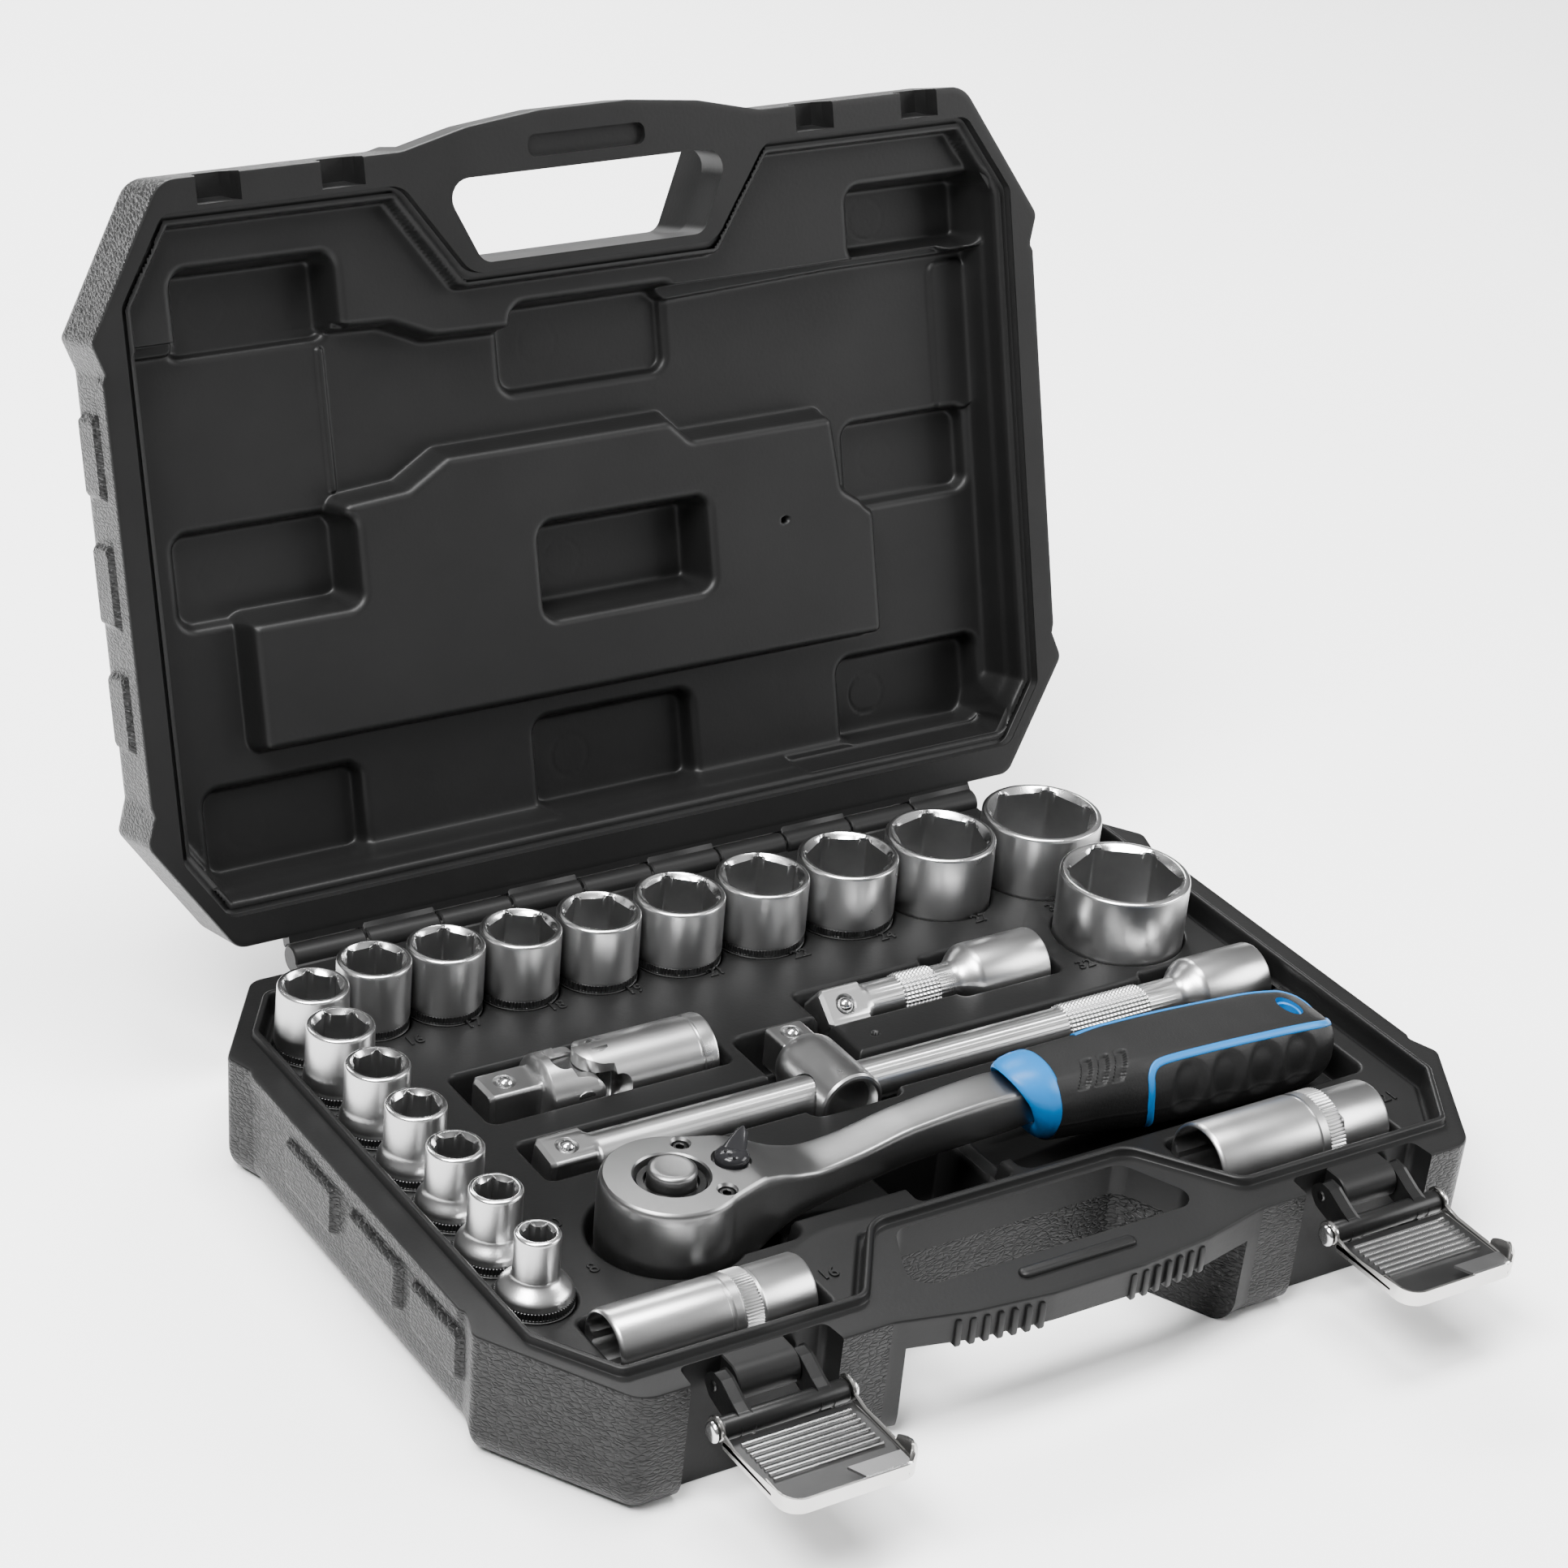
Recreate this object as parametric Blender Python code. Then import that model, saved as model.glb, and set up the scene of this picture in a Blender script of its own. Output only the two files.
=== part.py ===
"""A 24-piece 1/2 inch socket wrench set in its hinged blow-moulded case, lid and latches open.

All lengths in this file are millimetres; MM turns them into the metres of the scene. +Z is up, the
case's front (handle and latches) faces -Y, and the origin is the middle of its underside.
The lid is drawn closed and swung open about its hinge by LID_OPEN.
"""
from math import cos, pi, radians, sin, sqrt, tau

import bmesh
import bpy
from mathutils import Vector

MM = 0.001
GAP = 0.3  # running gap between two pieces that touch

# case
RIM = 39.0  # height of the tray's rim above the floor
LID_DEPTH = 32.0
LID_OPEN = 106.4  # degrees between the closed and the open lid
LID_GAP = 0.4  # gap between the two rims when the lid is closed
FRONT, BACK = -113.5, 113.5
HALF_WIDTH, EAR_WIDTH = 161.5, 165.0
DECK = RIM - 4.0
BEAD_HEIGHT, BEAD_WIDTH = 2.5, 2.0
SKIN = 2.2
HINGE_Y, HINGE_Z = 119.9, RIM
HINGE_PIN_R, KNUCKLE_R, KNUCKLE_LENGTH, KNUCKLE_PITCH = 1.5, 4.3, 14.0, 25.0
LID_LEVEL_FRONT, LID_LEVEL_MAIN, LID_LEVEL_PLATEAU, LID_LEVEL_WELL = 10.5, 22.3, 10.0, 28.3

# latches
LATCH_X = 101.5
LINK_PIVOT = (-110.0, RIM - 5.5)
LEVER_PIVOT = (-121.8, RIM - 9.7)
LEVER_LENGTH, LEVER_HALF = 35.5, 20.6
SHEET = 1.2

# tools: heights of the axes of the lying ones
DRIVE = 12.7  # the 1/2 inch square
BAR_Z = RIM - 7.0
LONG_BAR_Y, SHORT_BAR_Y, JOINT_Y = -1.5, 35.0, 34.0
LONG_BAR_X = (-106.0, 148.0)
SHORT_BAR_X = (9.5, 89.5)
JOINT_X = (-106.0, -32.0)
PITCH_PIN_X, YAW_PIN_X = -77.0, -68.5
SLEEVE_X = -8.1
BALL_R = 2.6
RATCHET_Y = -46.0
HEAD_X, HEAD_R, HEAD_TOP, HEAD_BASE = -91.5, 20.0, RIM + 14.0, RIM - 12.0
SWITCH_X = -72.4  # reversing lever
GRIP_X = (30.5, 138.0)
TANG_END, HANG_HOLE_X = 116.5, 124.0

# upright sockets: size across the flats, and where each stands
SOCKET_TOP = RIM + 17.4
POCKET_GAP = 0.6  # between a socket and its pocket
SMALL_BASE_R = 11.0
SOCKETS = {
    8: (-139.8, -58.1), 10: (-139.9, -35.3), 11: (-140.0, -12.6), 12: (-140.1, 10.2),
    13: (-140.2, 33.0), 14: (-140.3, 55.8), 15: (-137.8, 78.4), 16: (-115.2, 84.3),
    17: (-91.9, 83.6), 18: (-67.2, 82.6), 19: (-41.0, 81.6), 21: (-13.0, 81.0),
    22: (16.6, 80.6), 24: (48.2, 80.4), 27: (82.7, 79.4), 30: (121.6, 78.4), 32: (122.4, 34.6),
}
PLUG_SOCKETS = {16: (-133.0, -72.0, -83.0, RIM - 5.5, 10.5), 21: (63.0, 126.0, -83.5, RIM - 4.6, 13.0)}

BLACK_PLASTIC = ((0.018, 0.018, 0.019), 0.55, 0.0)
SATIN_CHROME = ((0.62, 0.62, 0.63), 0.32, 1.0)
NICKEL = ((0.75, 0.74, 0.72), 0.2, 1.0)
STEEL = ((0.5, 0.5, 0.51), 0.4, 1.0)
DARK_STEEL = ((0.05, 0.05, 0.055), 0.35, 0.8)
RUBBER = ((0.025, 0.025, 0.027), 0.75, 0.0)
BLUE = ((0.02, 0.36, 0.72), 0.4, 0.0)


# ---- solids, drawn in millimetres -------------------------------------------------------------

def loft(rings):
    """A closed solid through rings of as many points each, capped at both ends."""
    bm = bmesh.new()
    loops = [[bm.verts.new(p) for p in ring] for ring in rings]
    count = len(loops[0])
    for low, high in zip(loops, loops[1:]):
        for i in range(count):
            j = (i + 1) % count
            bm.faces.new((low[i], low[j], high[j], high[i]))
    bm.faces.new(loops[0])
    bm.faces.new(loops[-1])
    bmesh.ops.recalc_face_normals(bm, faces=bm.faces)
    return bm


def prism(outline, low, high):
    return loft([[(x, y, z) for x, y in outline] for z in (low, high)])


def prism_x(outline, low, high):
    return loft([[(x, y, z) for y, z in outline] for x in (low, high)])


def box(low, high):
    corners = [(low[0], low[1]), (high[0], low[1]), (high[0], high[1]), (low[0], high[1])]
    return prism(corners, low[2], high[2])


def polygon(radius, sides, centre=(0.0, 0.0), turn=0.0):
    angles = [turn + tau * i / sides for i in range(sides)]
    return [(centre[0] + radius * cos(a), centre[1] + radius * sin(a)) for a in angles]


def turned(profile, centre, axis="Z", sides=20):
    """A turned solid: profile is (place along the axis, radius), centre the two other coordinates."""
    rings = []
    for along, radius in profile:
        ring = polygon(radius, sides, centre, turn=pi / sides)
        if axis == "X":
            rings.append([(along, a, b) for a, b in ring])
        elif axis == "Y":
            rings.append([(a, along, b) for a, b in ring])
        else:
            rings.append([(a, b, along) for a, b in ring])
    return loft(rings)


def together(*solids):
    """Several solids in one mesh."""
    whole = bmesh.new()
    for bm in solids:
        mesh = bpy.data.meshes.new("part")
        bm.to_mesh(mesh)
        whole.from_mesh(mesh)
        bpy.data.meshes.remove(mesh)
        bm.free()
    return whole


def offset(outline, distance):
    """An anticlockwise outline moved inwards by distance."""
    points, moved = [Vector(p) for p in outline], []
    for i, p in enumerate(points):
        before = (p - points[i - 1]).normalized()
        after = (points[(i + 1) % len(points)] - p).normalized()
        side = Vector((-before.y - after.y, before.x + after.x))
        moved.append(p + side * (distance / (1 + before.dot(after))))
    return [tuple(p) for p in moved]


def mirrored(half):
    """An outline from the points of its right half, front to back."""
    return half + [(-x, y) for x, y in reversed(half)]


# ---- objects ----------------------------------------------------------------------------------

def material(name, look):
    colour, roughness, metallic = look
    made = bpy.data.materials.new(name)
    made.use_nodes = True
    shader = made.node_tree.nodes["Principled BSDF"]
    shader.inputs["Base Color"].default_value = (*colour, 1.0)
    shader.inputs["Roughness"].default_value = roughness
    shader.inputs["Metallic"].default_value = metallic
    made.diffuse_color = (*colour, 1.0)
    return made


def joint(name, at, turn=0.0, parent=None):
    """An empty on a joint's axis, turned about X by turn degrees."""
    empty = bpy.data.objects.new(name, None)
    bpy.context.collection.objects.link(empty)
    empty.location = Vector(at) * MM
    if parent:
        empty.parent = parent
        empty.location -= Vector(parent["at"]) * MM
    empty.rotation_euler.x = radians(turn)
    empty["at"] = at
    return empty


def to_object(name, bm, parent=None):
    mesh = bpy.data.meshes.new(name)
    origin = Vector(parent["at"]) if parent else Vector((0, 0, 0))
    for vert in bm.verts:
        vert.co = (vert.co - origin) * MM
    bm.to_mesh(mesh)
    bm.free()
    made = bpy.data.objects.new(name, mesh)
    bpy.context.collection.objects.link(made)
    made.parent = parent
    return made


def piece(name, bm, look, parent=None):
    made = to_object(name, bm, parent)
    made.data.materials.append(material(name, look))
    made.data.shade_smooth()
    made.data.set_sharp_from_angle(angle=radians(30))
    return made


def combine(target, bm, operation, overlapping=False):
    tool = to_object(target.name + "_tool", bm, target.parent)
    tool.hide_render = True
    tool.display_type = "WIRE"
    modifier = target.modifiers.new(operation.lower(), "BOOLEAN")
    modifier.operation = operation
    modifier.solver = "EXACT"
    modifier.use_self = overlapping
    modifier.object = tool
    return tool


def cut(target, *solids, overlapping=False):
    return combine(target, together(*solids), "DIFFERENCE", overlapping)


def add(target, *solids, overlapping=False):
    return combine(target, together(*solids), "UNION", overlapping)


# ---- case -------------------------------------------------------------------------------------

def case_outline():
    bulge = [(15.0, FRONT - 7.6), (40.0, FRONT - 5.0), (62.0, FRONT)]
    corners = [
        (139.2, FRONT), (EAR_WIDTH, -69.9), (HALF_WIDTH, -59.7),
        (HALF_WIDTH, 67.6), (EAR_WIDTH, 77.8), (140.7, BACK),
    ]
    return mirrored(bulge + corners)


def inner_outline():
    """The outside of the tray's raised bead, round the deck and behind the handle."""
    half = [(43.0, -74.5), (63.5, -103.0), (139.0, -103.0), (154.0, -79.0), (154.0, 84.5), (141.5, 103.0)]
    return mirrored(half)


HANDLE_HOLE = [(-50.5, -103.5), (50.5, -103.5), (38.5, -78.0), (-38.5, -78.0)]
HANDLE_HOLLOW = [(-62.0, -126.0), (62.0, -126.0), (39.5, -77.0), (-39.5, -77.0)]


def shell(rim, away, depth):
    """A case half's outer body from its rim, away from it (+1 up, -1 down), rounded at its far edge."""
    steps = [(0.0, 0.0), (depth - 8.0, 0.8), (depth - 3.5, 2.0), (depth - 1.0, 4.5), (depth, 7.5)]
    rings = [
        [(x, y, rim + away * along) for x, y in offset(case_outline(), inset)]
        for along, inset in steps
    ]
    return loft(rings)


def latch_recess(centre, low, high):
    outline = [(centre - 25, -130), (centre + 25, -130), (centre + 22.5, -105.5), (centre - 22.5, -105.5)]
    return prism(outline, low, high)


def lug(centre, radius, start, end, wall, low, high):
    """A rounded lug's outline in Y and Z: an arc about centre, and its root on a wall."""
    steps = 8
    arc = [start + (end - start) * i / steps for i in range(steps + 1)]
    tip = [(centre[0] + radius * cos(radians(a)), centre[1] + radius * sin(radians(a))) for a in arc]
    return tip + [(wall, low), (wall, high)]


def knuckle_centres(first):
    return [-112.5 + KNUCKLE_PITCH * i for i in range(first, 10, 2)]


def bore_x(y, z, radius, low, high):
    return turned([(low, radius), (high, radius)], (y, z), "X", 12)


def socket_radius(size):
    """Outer radius at the nut end."""
    return 0.6 * size + 1.5


def socket_base_radius(size):
    return max(SMALL_BASE_R, socket_radius(size))


def socket_base(size):
    """Height of the socket's lower end."""
    length = 38.0 if size < 20 else 40.0 if size < 26 else 43.0
    return SOCKET_TOP - length


def socket_pockets():
    return [
        turned([(socket_base(size) - 0.5, socket_base_radius(size) + POCKET_GAP),
                (DECK + 1, socket_base_radius(size) + POCKET_GAP)], place, "Z", 16)
        for size, place in SOCKETS.items()
    ]


def trough(x, y, floor):
    return box((x[0], y[0], floor), (x[1], y[1], DECK + 1))


def bar_trough(ends, y, wide_from):
    """A pocket for a lying bar: narrow along its shaft, wide at its socket end."""
    narrow = trough((ends[0] - 3, wide_from + 1), (y - 10.0, y + 10.0), BAR_Z - 10.2)
    wide = trough((wide_from, ends[1] + 3), (y - 12.5, y + 12.5), BAR_Z - 11.7)
    return [narrow, wide]


def tool_pockets():
    """Pockets for everything that lies down."""
    plugs = [
        trough((low - 2, high + 3.5), (y - r - 1, y + r + 1), z - r - 0.6)
        for low, high, y, z, r in PLUG_SOCKETS.values()
    ]
    head = turned([(HEAD_BASE - 3, HEAD_R + 2), (DECK + 1, HEAD_R + 2)], (HEAD_X, RATCHET_Y), "Z", 24)
    drive = turned([(RIM - 31, 10.5), (HEAD_BASE, 10.5)], (HEAD_X, RATCHET_Y), "Z", 12)
    throat = trough((HEAD_X + 8, -58.0), (RATCHET_Y - 18.2, RATCHET_Y + 18.2), HEAD_BASE - 1.5)
    shaft = trough((HEAD_X + 10, 17.5), (RATCHET_Y - 11, RATCHET_Y + 11), RIM - 11.5)
    grip = trough((16.0, GRIP_X[1] + 4), (RATCHET_Y - 17.5, RATCHET_Y + 17.5), RIM - 14.0)
    fingers = trough((-20.0, 12.0), (-64.0, -29.5), RIM - 32.0)
    sleeve = trough((SLEEVE_X - 16, SLEEVE_X + 16), (-15.5, 31.0), BAR_Z - 12.0)
    bars = bar_trough(LONG_BAR_X, LONG_BAR_Y, 112.0) + bar_trough(SHORT_BAR_X, SHORT_BAR_Y, 54.0)
    universal = trough((JOINT_X[0] - 4, JOINT_X[1] + 3), (JOINT_Y - 13.6, JOINT_Y + 13.6), BAR_Z - 12.5)
    return plugs + [head, drive, throat, shaft, grip, fingers, sleeve, universal] + bars


def tray_cavity():
    """The hollow between the tray's two skins, with solid plastic left round every pocket."""
    room = prism(offset(case_outline(), 3.0), 7.5, RIM - 2.5)
    cavity = to_object("tray_cavity", room)
    keep = [
        prism(offset(inner_outline(), -4.0), DECK - SKIN, RIM),
        prism(offset(HANDLE_HOLLOW, -3.0), 0.0, RIM),
        box((-155.0, -72.5, RIM - 23.5), (-126.0, 94.0, RIM)),
        box((-155.0, 62.0, RIM - 25.0), (70.0, 98.5, RIM)),
        box((63.0, 56.0, RIM - 28.5), (144.5, 100.5, RIM)),
        box((99.0, 11.5, RIM - 28.5), (145.5, 60.0, RIM)),
        box((-136.0, -96.5, RIM - 19.0), (-63.0, -69.5, RIM)),
        box((60.5, -99.5, RIM - 20.5), (136.5, -67.5, RIM)),
        box((-116.5, -71.0, RIM - 35.0), (-66.5, -21.0, RIM)),
        box((-70.0, -66.5, RIM - 16.5), (143.5, -26.0, RIM)),
        box((-23.0, -67.0, RIM - 36.0), (15.0, -26.5, RIM)),
        box((-112.0, -13.0, RIM - 19.5), (116.0, 10.0, RIM)),
        box((109.0, -16.5, RIM - 21.5), (153.5, 13.5, RIM)),
        box((SLEEVE_X - 18.5, -18.0, RIM - 21.5), (SLEEVE_X + 18.5, 33.5, RIM)),
        box((-113.0, 18.5, RIM - 22.5), (-26.0, 49.5, RIM)),
        box((3.5, 23.5, RIM - 21.5), (95.5, 50.5, RIM)),
        latch_recess_walls(-LATCH_X),
        latch_recess_walls(LATCH_X),
    ]
    cut(cavity, *keep, overlapping=True)
    cavity.hide_render = True
    cavity.display_type = "WIRE"
    return cavity


def latch_recess_walls(centre):
    return prism([(centre - 28, -120), (centre + 28, -120), (centre + 25.5, -102.5), (centre - 25.5, -102.5)],
                 0.0, RIM)


def tray_shell():
    tray = piece("tray_shell", shell(RIM, -1, RIM), BLACK_PLASTIC)
    cut(tray, prism(HANDLE_HOLLOW, -1.0, RIM - 11.0))
    cut(tray, prism(HANDLE_HOLE, RIM - 13.0, RIM + 1.0))
    add(tray, prism(inner_outline(), RIM - 1.0, RIM + BEAD_HEIGHT))
    cut(tray, prism(offset(inner_outline(), BEAD_WIDTH), DECK, RIM + 5))
    cut(tray, *socket_pockets(), overlapping=True)
    cut(tray, *tool_pockets(), overlapping=True)
    cut(tray, latch_recess(-LATCH_X, -1.0, RIM + 1), latch_recess(LATCH_X, -1.0, RIM + 1))
    hollow = tray.modifiers.new("hollow", "BOOLEAN")
    hollow.operation, hollow.solver, hollow.object = "DIFFERENCE", "EXACT", tray_cavity()
    cut(tray, turned([(DECK - 5, 1.25), (DECK + 1, 1.25)], (17.6, 15.7), "Z", 8))
    knuckle = lug((HINGE_Y, HINGE_Z), KNUCKLE_R, 160, -90, 111.5, RIM - 10, RIM - 1.2)
    boss = lug(LINK_PIVOT, 5.2, 60, 300, -104.0, RIM - 10.2, RIM - 0.8)
    lugs = [prism_x(knuckle, x - KNUCKLE_LENGTH / 2, x + KNUCKLE_LENGTH / 2) for x in knuckle_centres(0)]
    lugs += [prism_x(boss, x - 9.5, x + 9.5) for x in (-LATCH_X, LATCH_X)]
    add(tray, *lugs)
    cut(tray, bore_x(HINGE_Y, HINGE_Z, HINGE_PIN_R + 0.4, -130, 130),
        *[bore_x(*LINK_PIVOT, 1.8, x - 12, x + 12) for x in (-LATCH_X, LATCH_X)])
    return tray


PLATEAU = [
    (-121.0, 59.0), (-121.0, 17.5), (-88.0, 17.5), (-88.0, -11.5), (-66.0, -13.0), (-52.0, -21.0),
    (27.0, -21.0), (34.0, -14.0), (87.0, -14.0), (89.5, 10.0), (99.0, 18.0), (99.0, 59.0),
]
MAIN_LEVEL = [
    (-152.0, -68.5), (-82.0, -68.5), (-82.0, -67.5), (-67.0, -67.5), (-65.0, -61.5), (152.0, -61.5),
    (152.0, 83.5), (140.0, 101.0), (-140.0, 101.0), (-152.0, 83.5),
]
WELLS = [
    (-137, -81, -88, -58), (-28, 34, -65, -33), (96, 151, -87, -59), (-141, -82, -10, 22),
    (-25, 40, 3, 37), (95, 146, -10, 21), (-140, -84, 68, 100), (-27, 34, 66, 100), (87, 146, 67, 100),
]


def lid_cavity(parent, rim):
    """The hollow between the lid's two skins."""
    room = prism(offset(case_outline(), 6.0), rim + LID_LEVEL_MAIN + SKIN, rim + LID_DEPTH - SKIN)
    cavity = to_object("lid_cavity", room, parent)
    wells = [
        box((x0 - 2, y0 - 2, rim + 5), (x1 + 2, y1 + 2, rim + LID_DEPTH)) for x0, x1, y0, y1 in WELLS
    ]
    cut(cavity, *wells, prism(offset(HANDLE_HOLLOW, -3.0), rim, rim + LID_DEPTH))
    chambers = [
        box((-119.0, 24.5, rim + 12.5), (-29.0, 59.0, rim + 25)),
        box((42.5, 24.5, rim + 12.5), (101.0, 59.0, rim + 25)),
        box((-79.5, -9.0, rim + 12.5), (-29.0, 30.0, rim + 25)),
        box((44.0, -9.0, rim + 12.5), (84.0, 30.0, rim + 25)),
    ]
    add(cavity, *chambers, overlapping=True)
    cavity.hide_render = True
    cavity.display_type = "WIRE"
    return cavity


def lid_shell(hinge):
    """Drawn closed: its rim lies on the tray's, and the hinge empty swings it open."""
    rim = RIM + LID_GAP
    lid = piece("lid_shell", shell(rim, 1, LID_DEPTH), BLACK_PLASTIC, hinge)
    cut(lid, prism(HANDLE_HOLLOW, rim + 12.5, rim + LID_DEPTH + 1))
    cut(lid, prism(HANDLE_HOLE, rim - 1, rim + 14))
    cut(lid, prism(offset(inner_outline(), -0.8), rim - 1, rim + BEAD_HEIGHT + 1))
    cut(lid, prism(offset(inner_outline(), 1.5), rim, rim + LID_LEVEL_FRONT))
    cut(lid, prism(MAIN_LEVEL, rim + 1, rim + LID_LEVEL_MAIN))
    add(lid, prism(PLATEAU, rim + LID_LEVEL_PLATEAU, rim + LID_LEVEL_MAIN + 1))
    cut(lid, *[box((x0, y0, rim + 5), (x1, y1, rim + LID_LEVEL_WELL)) for x0, x1, y0, y1 in WELLS])
    cut(lid, *[latch_recess(x, rim - 1, rim + 22) for x in (-LATCH_X, LATCH_X)])
    hollow = lid.modifiers.new("hollow", "BOOLEAN")
    hollow.operation, hollow.solver, hollow.object = "DIFFERENCE", "EXACT", lid_cavity(hinge, rim)
    cut(lid, turned([(rim + 5, 1.25), (rim + 15, 1.25)], (66.0, 17.0), "Z", 8))
    knuckle = lug((HINGE_Y, HINGE_Z), KNUCKLE_R, -160, 90, 111.5, RIM + 10, RIM + 1.6)
    lugs = [prism_x(knuckle, x - KNUCKLE_LENGTH / 2, x + KNUCKLE_LENGTH / 2) for x in knuckle_centres(1)]
    catch = [
        (-104.0, rim + 0.4), (-112.6, rim + 0.4), (-112.6, rim + 7.0), (-110.6, rim + 8.8),
        (-104.0, rim + 8.8),
    ]
    lugs += [prism_x(catch, x - 13, x + 13) for x in (-LATCH_X, LATCH_X)]
    add(lid, *lugs)
    cut(lid, bore_x(HINGE_Y, HINGE_Z, HINGE_PIN_R + 0.4, -130, 130))
    return lid


def headed_pin(y, z, radius, head, centre, half):
    """A cross pin along X with a flat head at each end."""
    profile = [
        (centre - half - 1.3, head), (centre - half, head), (centre - half, radius),
        (centre + half, radius), (centre + half, head), (centre + half + 1.3, head),
    ]
    return turned(profile, (y, z), "X", 12)


def latch(side, centre):
    """The link swings on the tray's boss, and the sheet-metal lever on the link's far end."""
    link_axis = joint(f"latch_{side}_link_axis", (centre, *LINK_PIVOT))
    lever_axis = joint(f"latch_{side}_lever_axis", (centre, *LEVER_PIVOT), parent=link_axis)
    piece(f"latch_{side}_link_pin", turned([(centre - 14.5, 1.4), (centre + 14.5, 1.4)], LINK_PIVOT, "X", 12),
          NICKEL, link_axis)
    lever_pin = headed_pin(*LEVER_PIVOT, 1.3, 2.6, centre, LEVER_HALF + GAP)
    piece(f"latch_{side}_lever_pin", lever_pin, NICKEL, lever_axis)
    latch_link(side, centre, link_axis)
    latch_lever(side, centre, lever_axis)


def latch_link(side, centre, axis):
    (y0, z0), (y1, z1) = LINK_PIVOT, LEVER_PIVOT
    arm = [
        (y0 + 3.6, z0 + 1.0), (y0 + 1.0, z0 + 3.6), (y0 - 2.6, z0 + 3.2), (y1 + 3.0, z1 + 4.2),
        (y1 - 0.5, z1 + 2.6), (y1 - 0.5, z1 - 2.6), (y1 + 3.4, z1 - 2.6),
        (y0 + 1.4, z0 - 3.6), (y0 + 3.6, z0 - 1.2),
    ]
    barrel = turned([(centre - 18.0, 3.2), (centre + 18.0, 3.2)], LEVER_PIVOT, "X", 14)
    link = piece(f"latch_{side}_link", barrel, BLACK_PLASTIC, axis)
    add(link, prism_x(arm, centre - 14.2, centre - 10.0), prism_x(arm, centre + 10.0, centre + 14.2))
    cut(link, bore_x(*LEVER_PIVOT, 1.65, centre - 25, centre + 25),
        bore_x(*LINK_PIVOT, 1.75, centre - 25, centre + 25))


def latch_lever(side, centre, axis):
    """Lying open: its inner face up, its hook tongue standing near the far end."""
    y, z = LEVER_PIVOT
    low, tip, half = z - 2.4, y - LEVER_LENGTH, LEVER_HALF
    plate = [
        (centre - half, y - 4.2), (centre - half, tip + 6), (centre - half + 7, tip),
        (centre + half - 7, tip),
        (centre + half, tip + 6), (centre + half, y - 4.2),
    ]
    lever = piece(f"latch_{side}_lever", prism(plate, low, low + SHEET), NICKEL, axis)
    flange = [(y - 5.0, low + 0.3), (y - 1.5, z - 3.0), (y + 1.8, z - 2.2), (y + 2.8, z), (y + 1.8, z + 2.2),
              (y - 1.0, z + 2.8), (y - 8.0, z + 1.6), (tip + 6.5, z + 1.2), (tip + 6.5, low + 0.3)]
    add(lever, prism_x(flange, centre - half + 0.2, centre - half + SHEET + 0.2),
        prism_x(flange, centre + half - SHEET - 0.2, centre + half - 0.2))
    hook = [(y - 26.0, low + 0.3), (y - 26.0, low + 6.5), (y - 27.4, low + 6.5), (y - 27.4, low + 0.3)]
    add(lever, prism_x(hook, centre - 9.0, centre + 9.0))
    cut(lever, bore_x(y, z, 1.65, centre - 25, centre + 25))


# ---- tools ------------------------------------------------------------------------------------

def square(centre, side, turn=0.0):
    return polygon(side / sqrt(2), 4, centre, turn=radians(45 + turn))


def hexagon(across, centre):
    return polygon(across / sqrt(3), 6, centre, turn=radians(30))


def upright_socket(size, place):
    base, top = socket_base(size), SOCKET_TOP
    wide, narrow = socket_base_radius(size), socket_radius(size)
    profile = [(base, wide - 1.2), (base + 1.2, wide)]
    if wide > narrow:
        profile += [(DECK + 3.0, wide), (DECK + 5.0, narrow + 0.7 * (wide - narrow)), (DECK + 9.0, narrow)]
    profile += [(top - 0.8, narrow), (top, narrow - 0.7)]
    axis = joint(f"socket_{size:02d}_seat", (*place, base))
    socket = piece(f"socket_{size:02d}", turned(profile, place), SATIN_CHROME, axis)
    web = base + 15.0
    cut(socket, prism(hexagon(size + 0.3, place), web - 1, top + 1))
    cut(socket, prism(square(place, DRIVE + 0.3), base - 1, web))


def plug_socket(size, low, high, y, z, radius):
    """A long socket lying down, its nut end towards -X, with a rubber grip ring inside."""
    step = 0.86 if size > 20 else 0.97
    band = low + 0.56 * (high - low)
    profile = [(low, radius - 0.8), (low + 0.8, radius), (band, radius), (band + 10, radius),
               (band + 10.5, radius * step + 0.2), (high - 1, radius * step + 0.2),
               (high, radius * step - 0.8)]
    axis = joint(f"plug_socket_{size}_seat", (0.5 * (low + high), y, z))
    socket = piece(f"plug_socket_{size}", turned(profile, (y, z), "X"), SATIN_CHROME, axis)
    across = hexagon(size + 0.3, (y, z))
    cut(socket, prism_x(across, low - 1, high - 17))
    cut(socket, prism_x(square((y, z), DRIVE + 0.3), high - 14, high + 1))
    cut(socket, bore_x(y, z, 5.4, high - 18, high - 13))
    ring = piece(f"plug_socket_{size}_rubber_ring",
                 turned([(low + 18, size / 2 - 0.25), (low + 28, size / 2 - 0.25)], (y, z), "X", 16),
                 RUBBER, axis)
    cut(ring, bore_x(y, z, size / 2 - 2.4, low + 10, low + 35))


def detent_ball(name, centre, axis_turn, parent):
    """A sprung ball in a drive square's face; axis_turn is the face's tilt about X, in degrees."""
    a = radians(axis_turn)
    face = DRIVE / 2 - 1.2
    spot = (centre[0], centre[1] - face * sin(a), centre[2] + face * cos(a))
    seat = joint(name + "_axis", spot, parent=parent)
    rings = []
    for i in range(1, 8):
        b = pi * i / 8
        ring = polygon(BALL_R * sin(b), 10)
        rings.append([(spot[0] + u, spot[1] + v, spot[2] - BALL_R * cos(b)) for u, v in ring])
    piece(name, loft(rings), STEEL, seat)
    return spot


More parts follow.
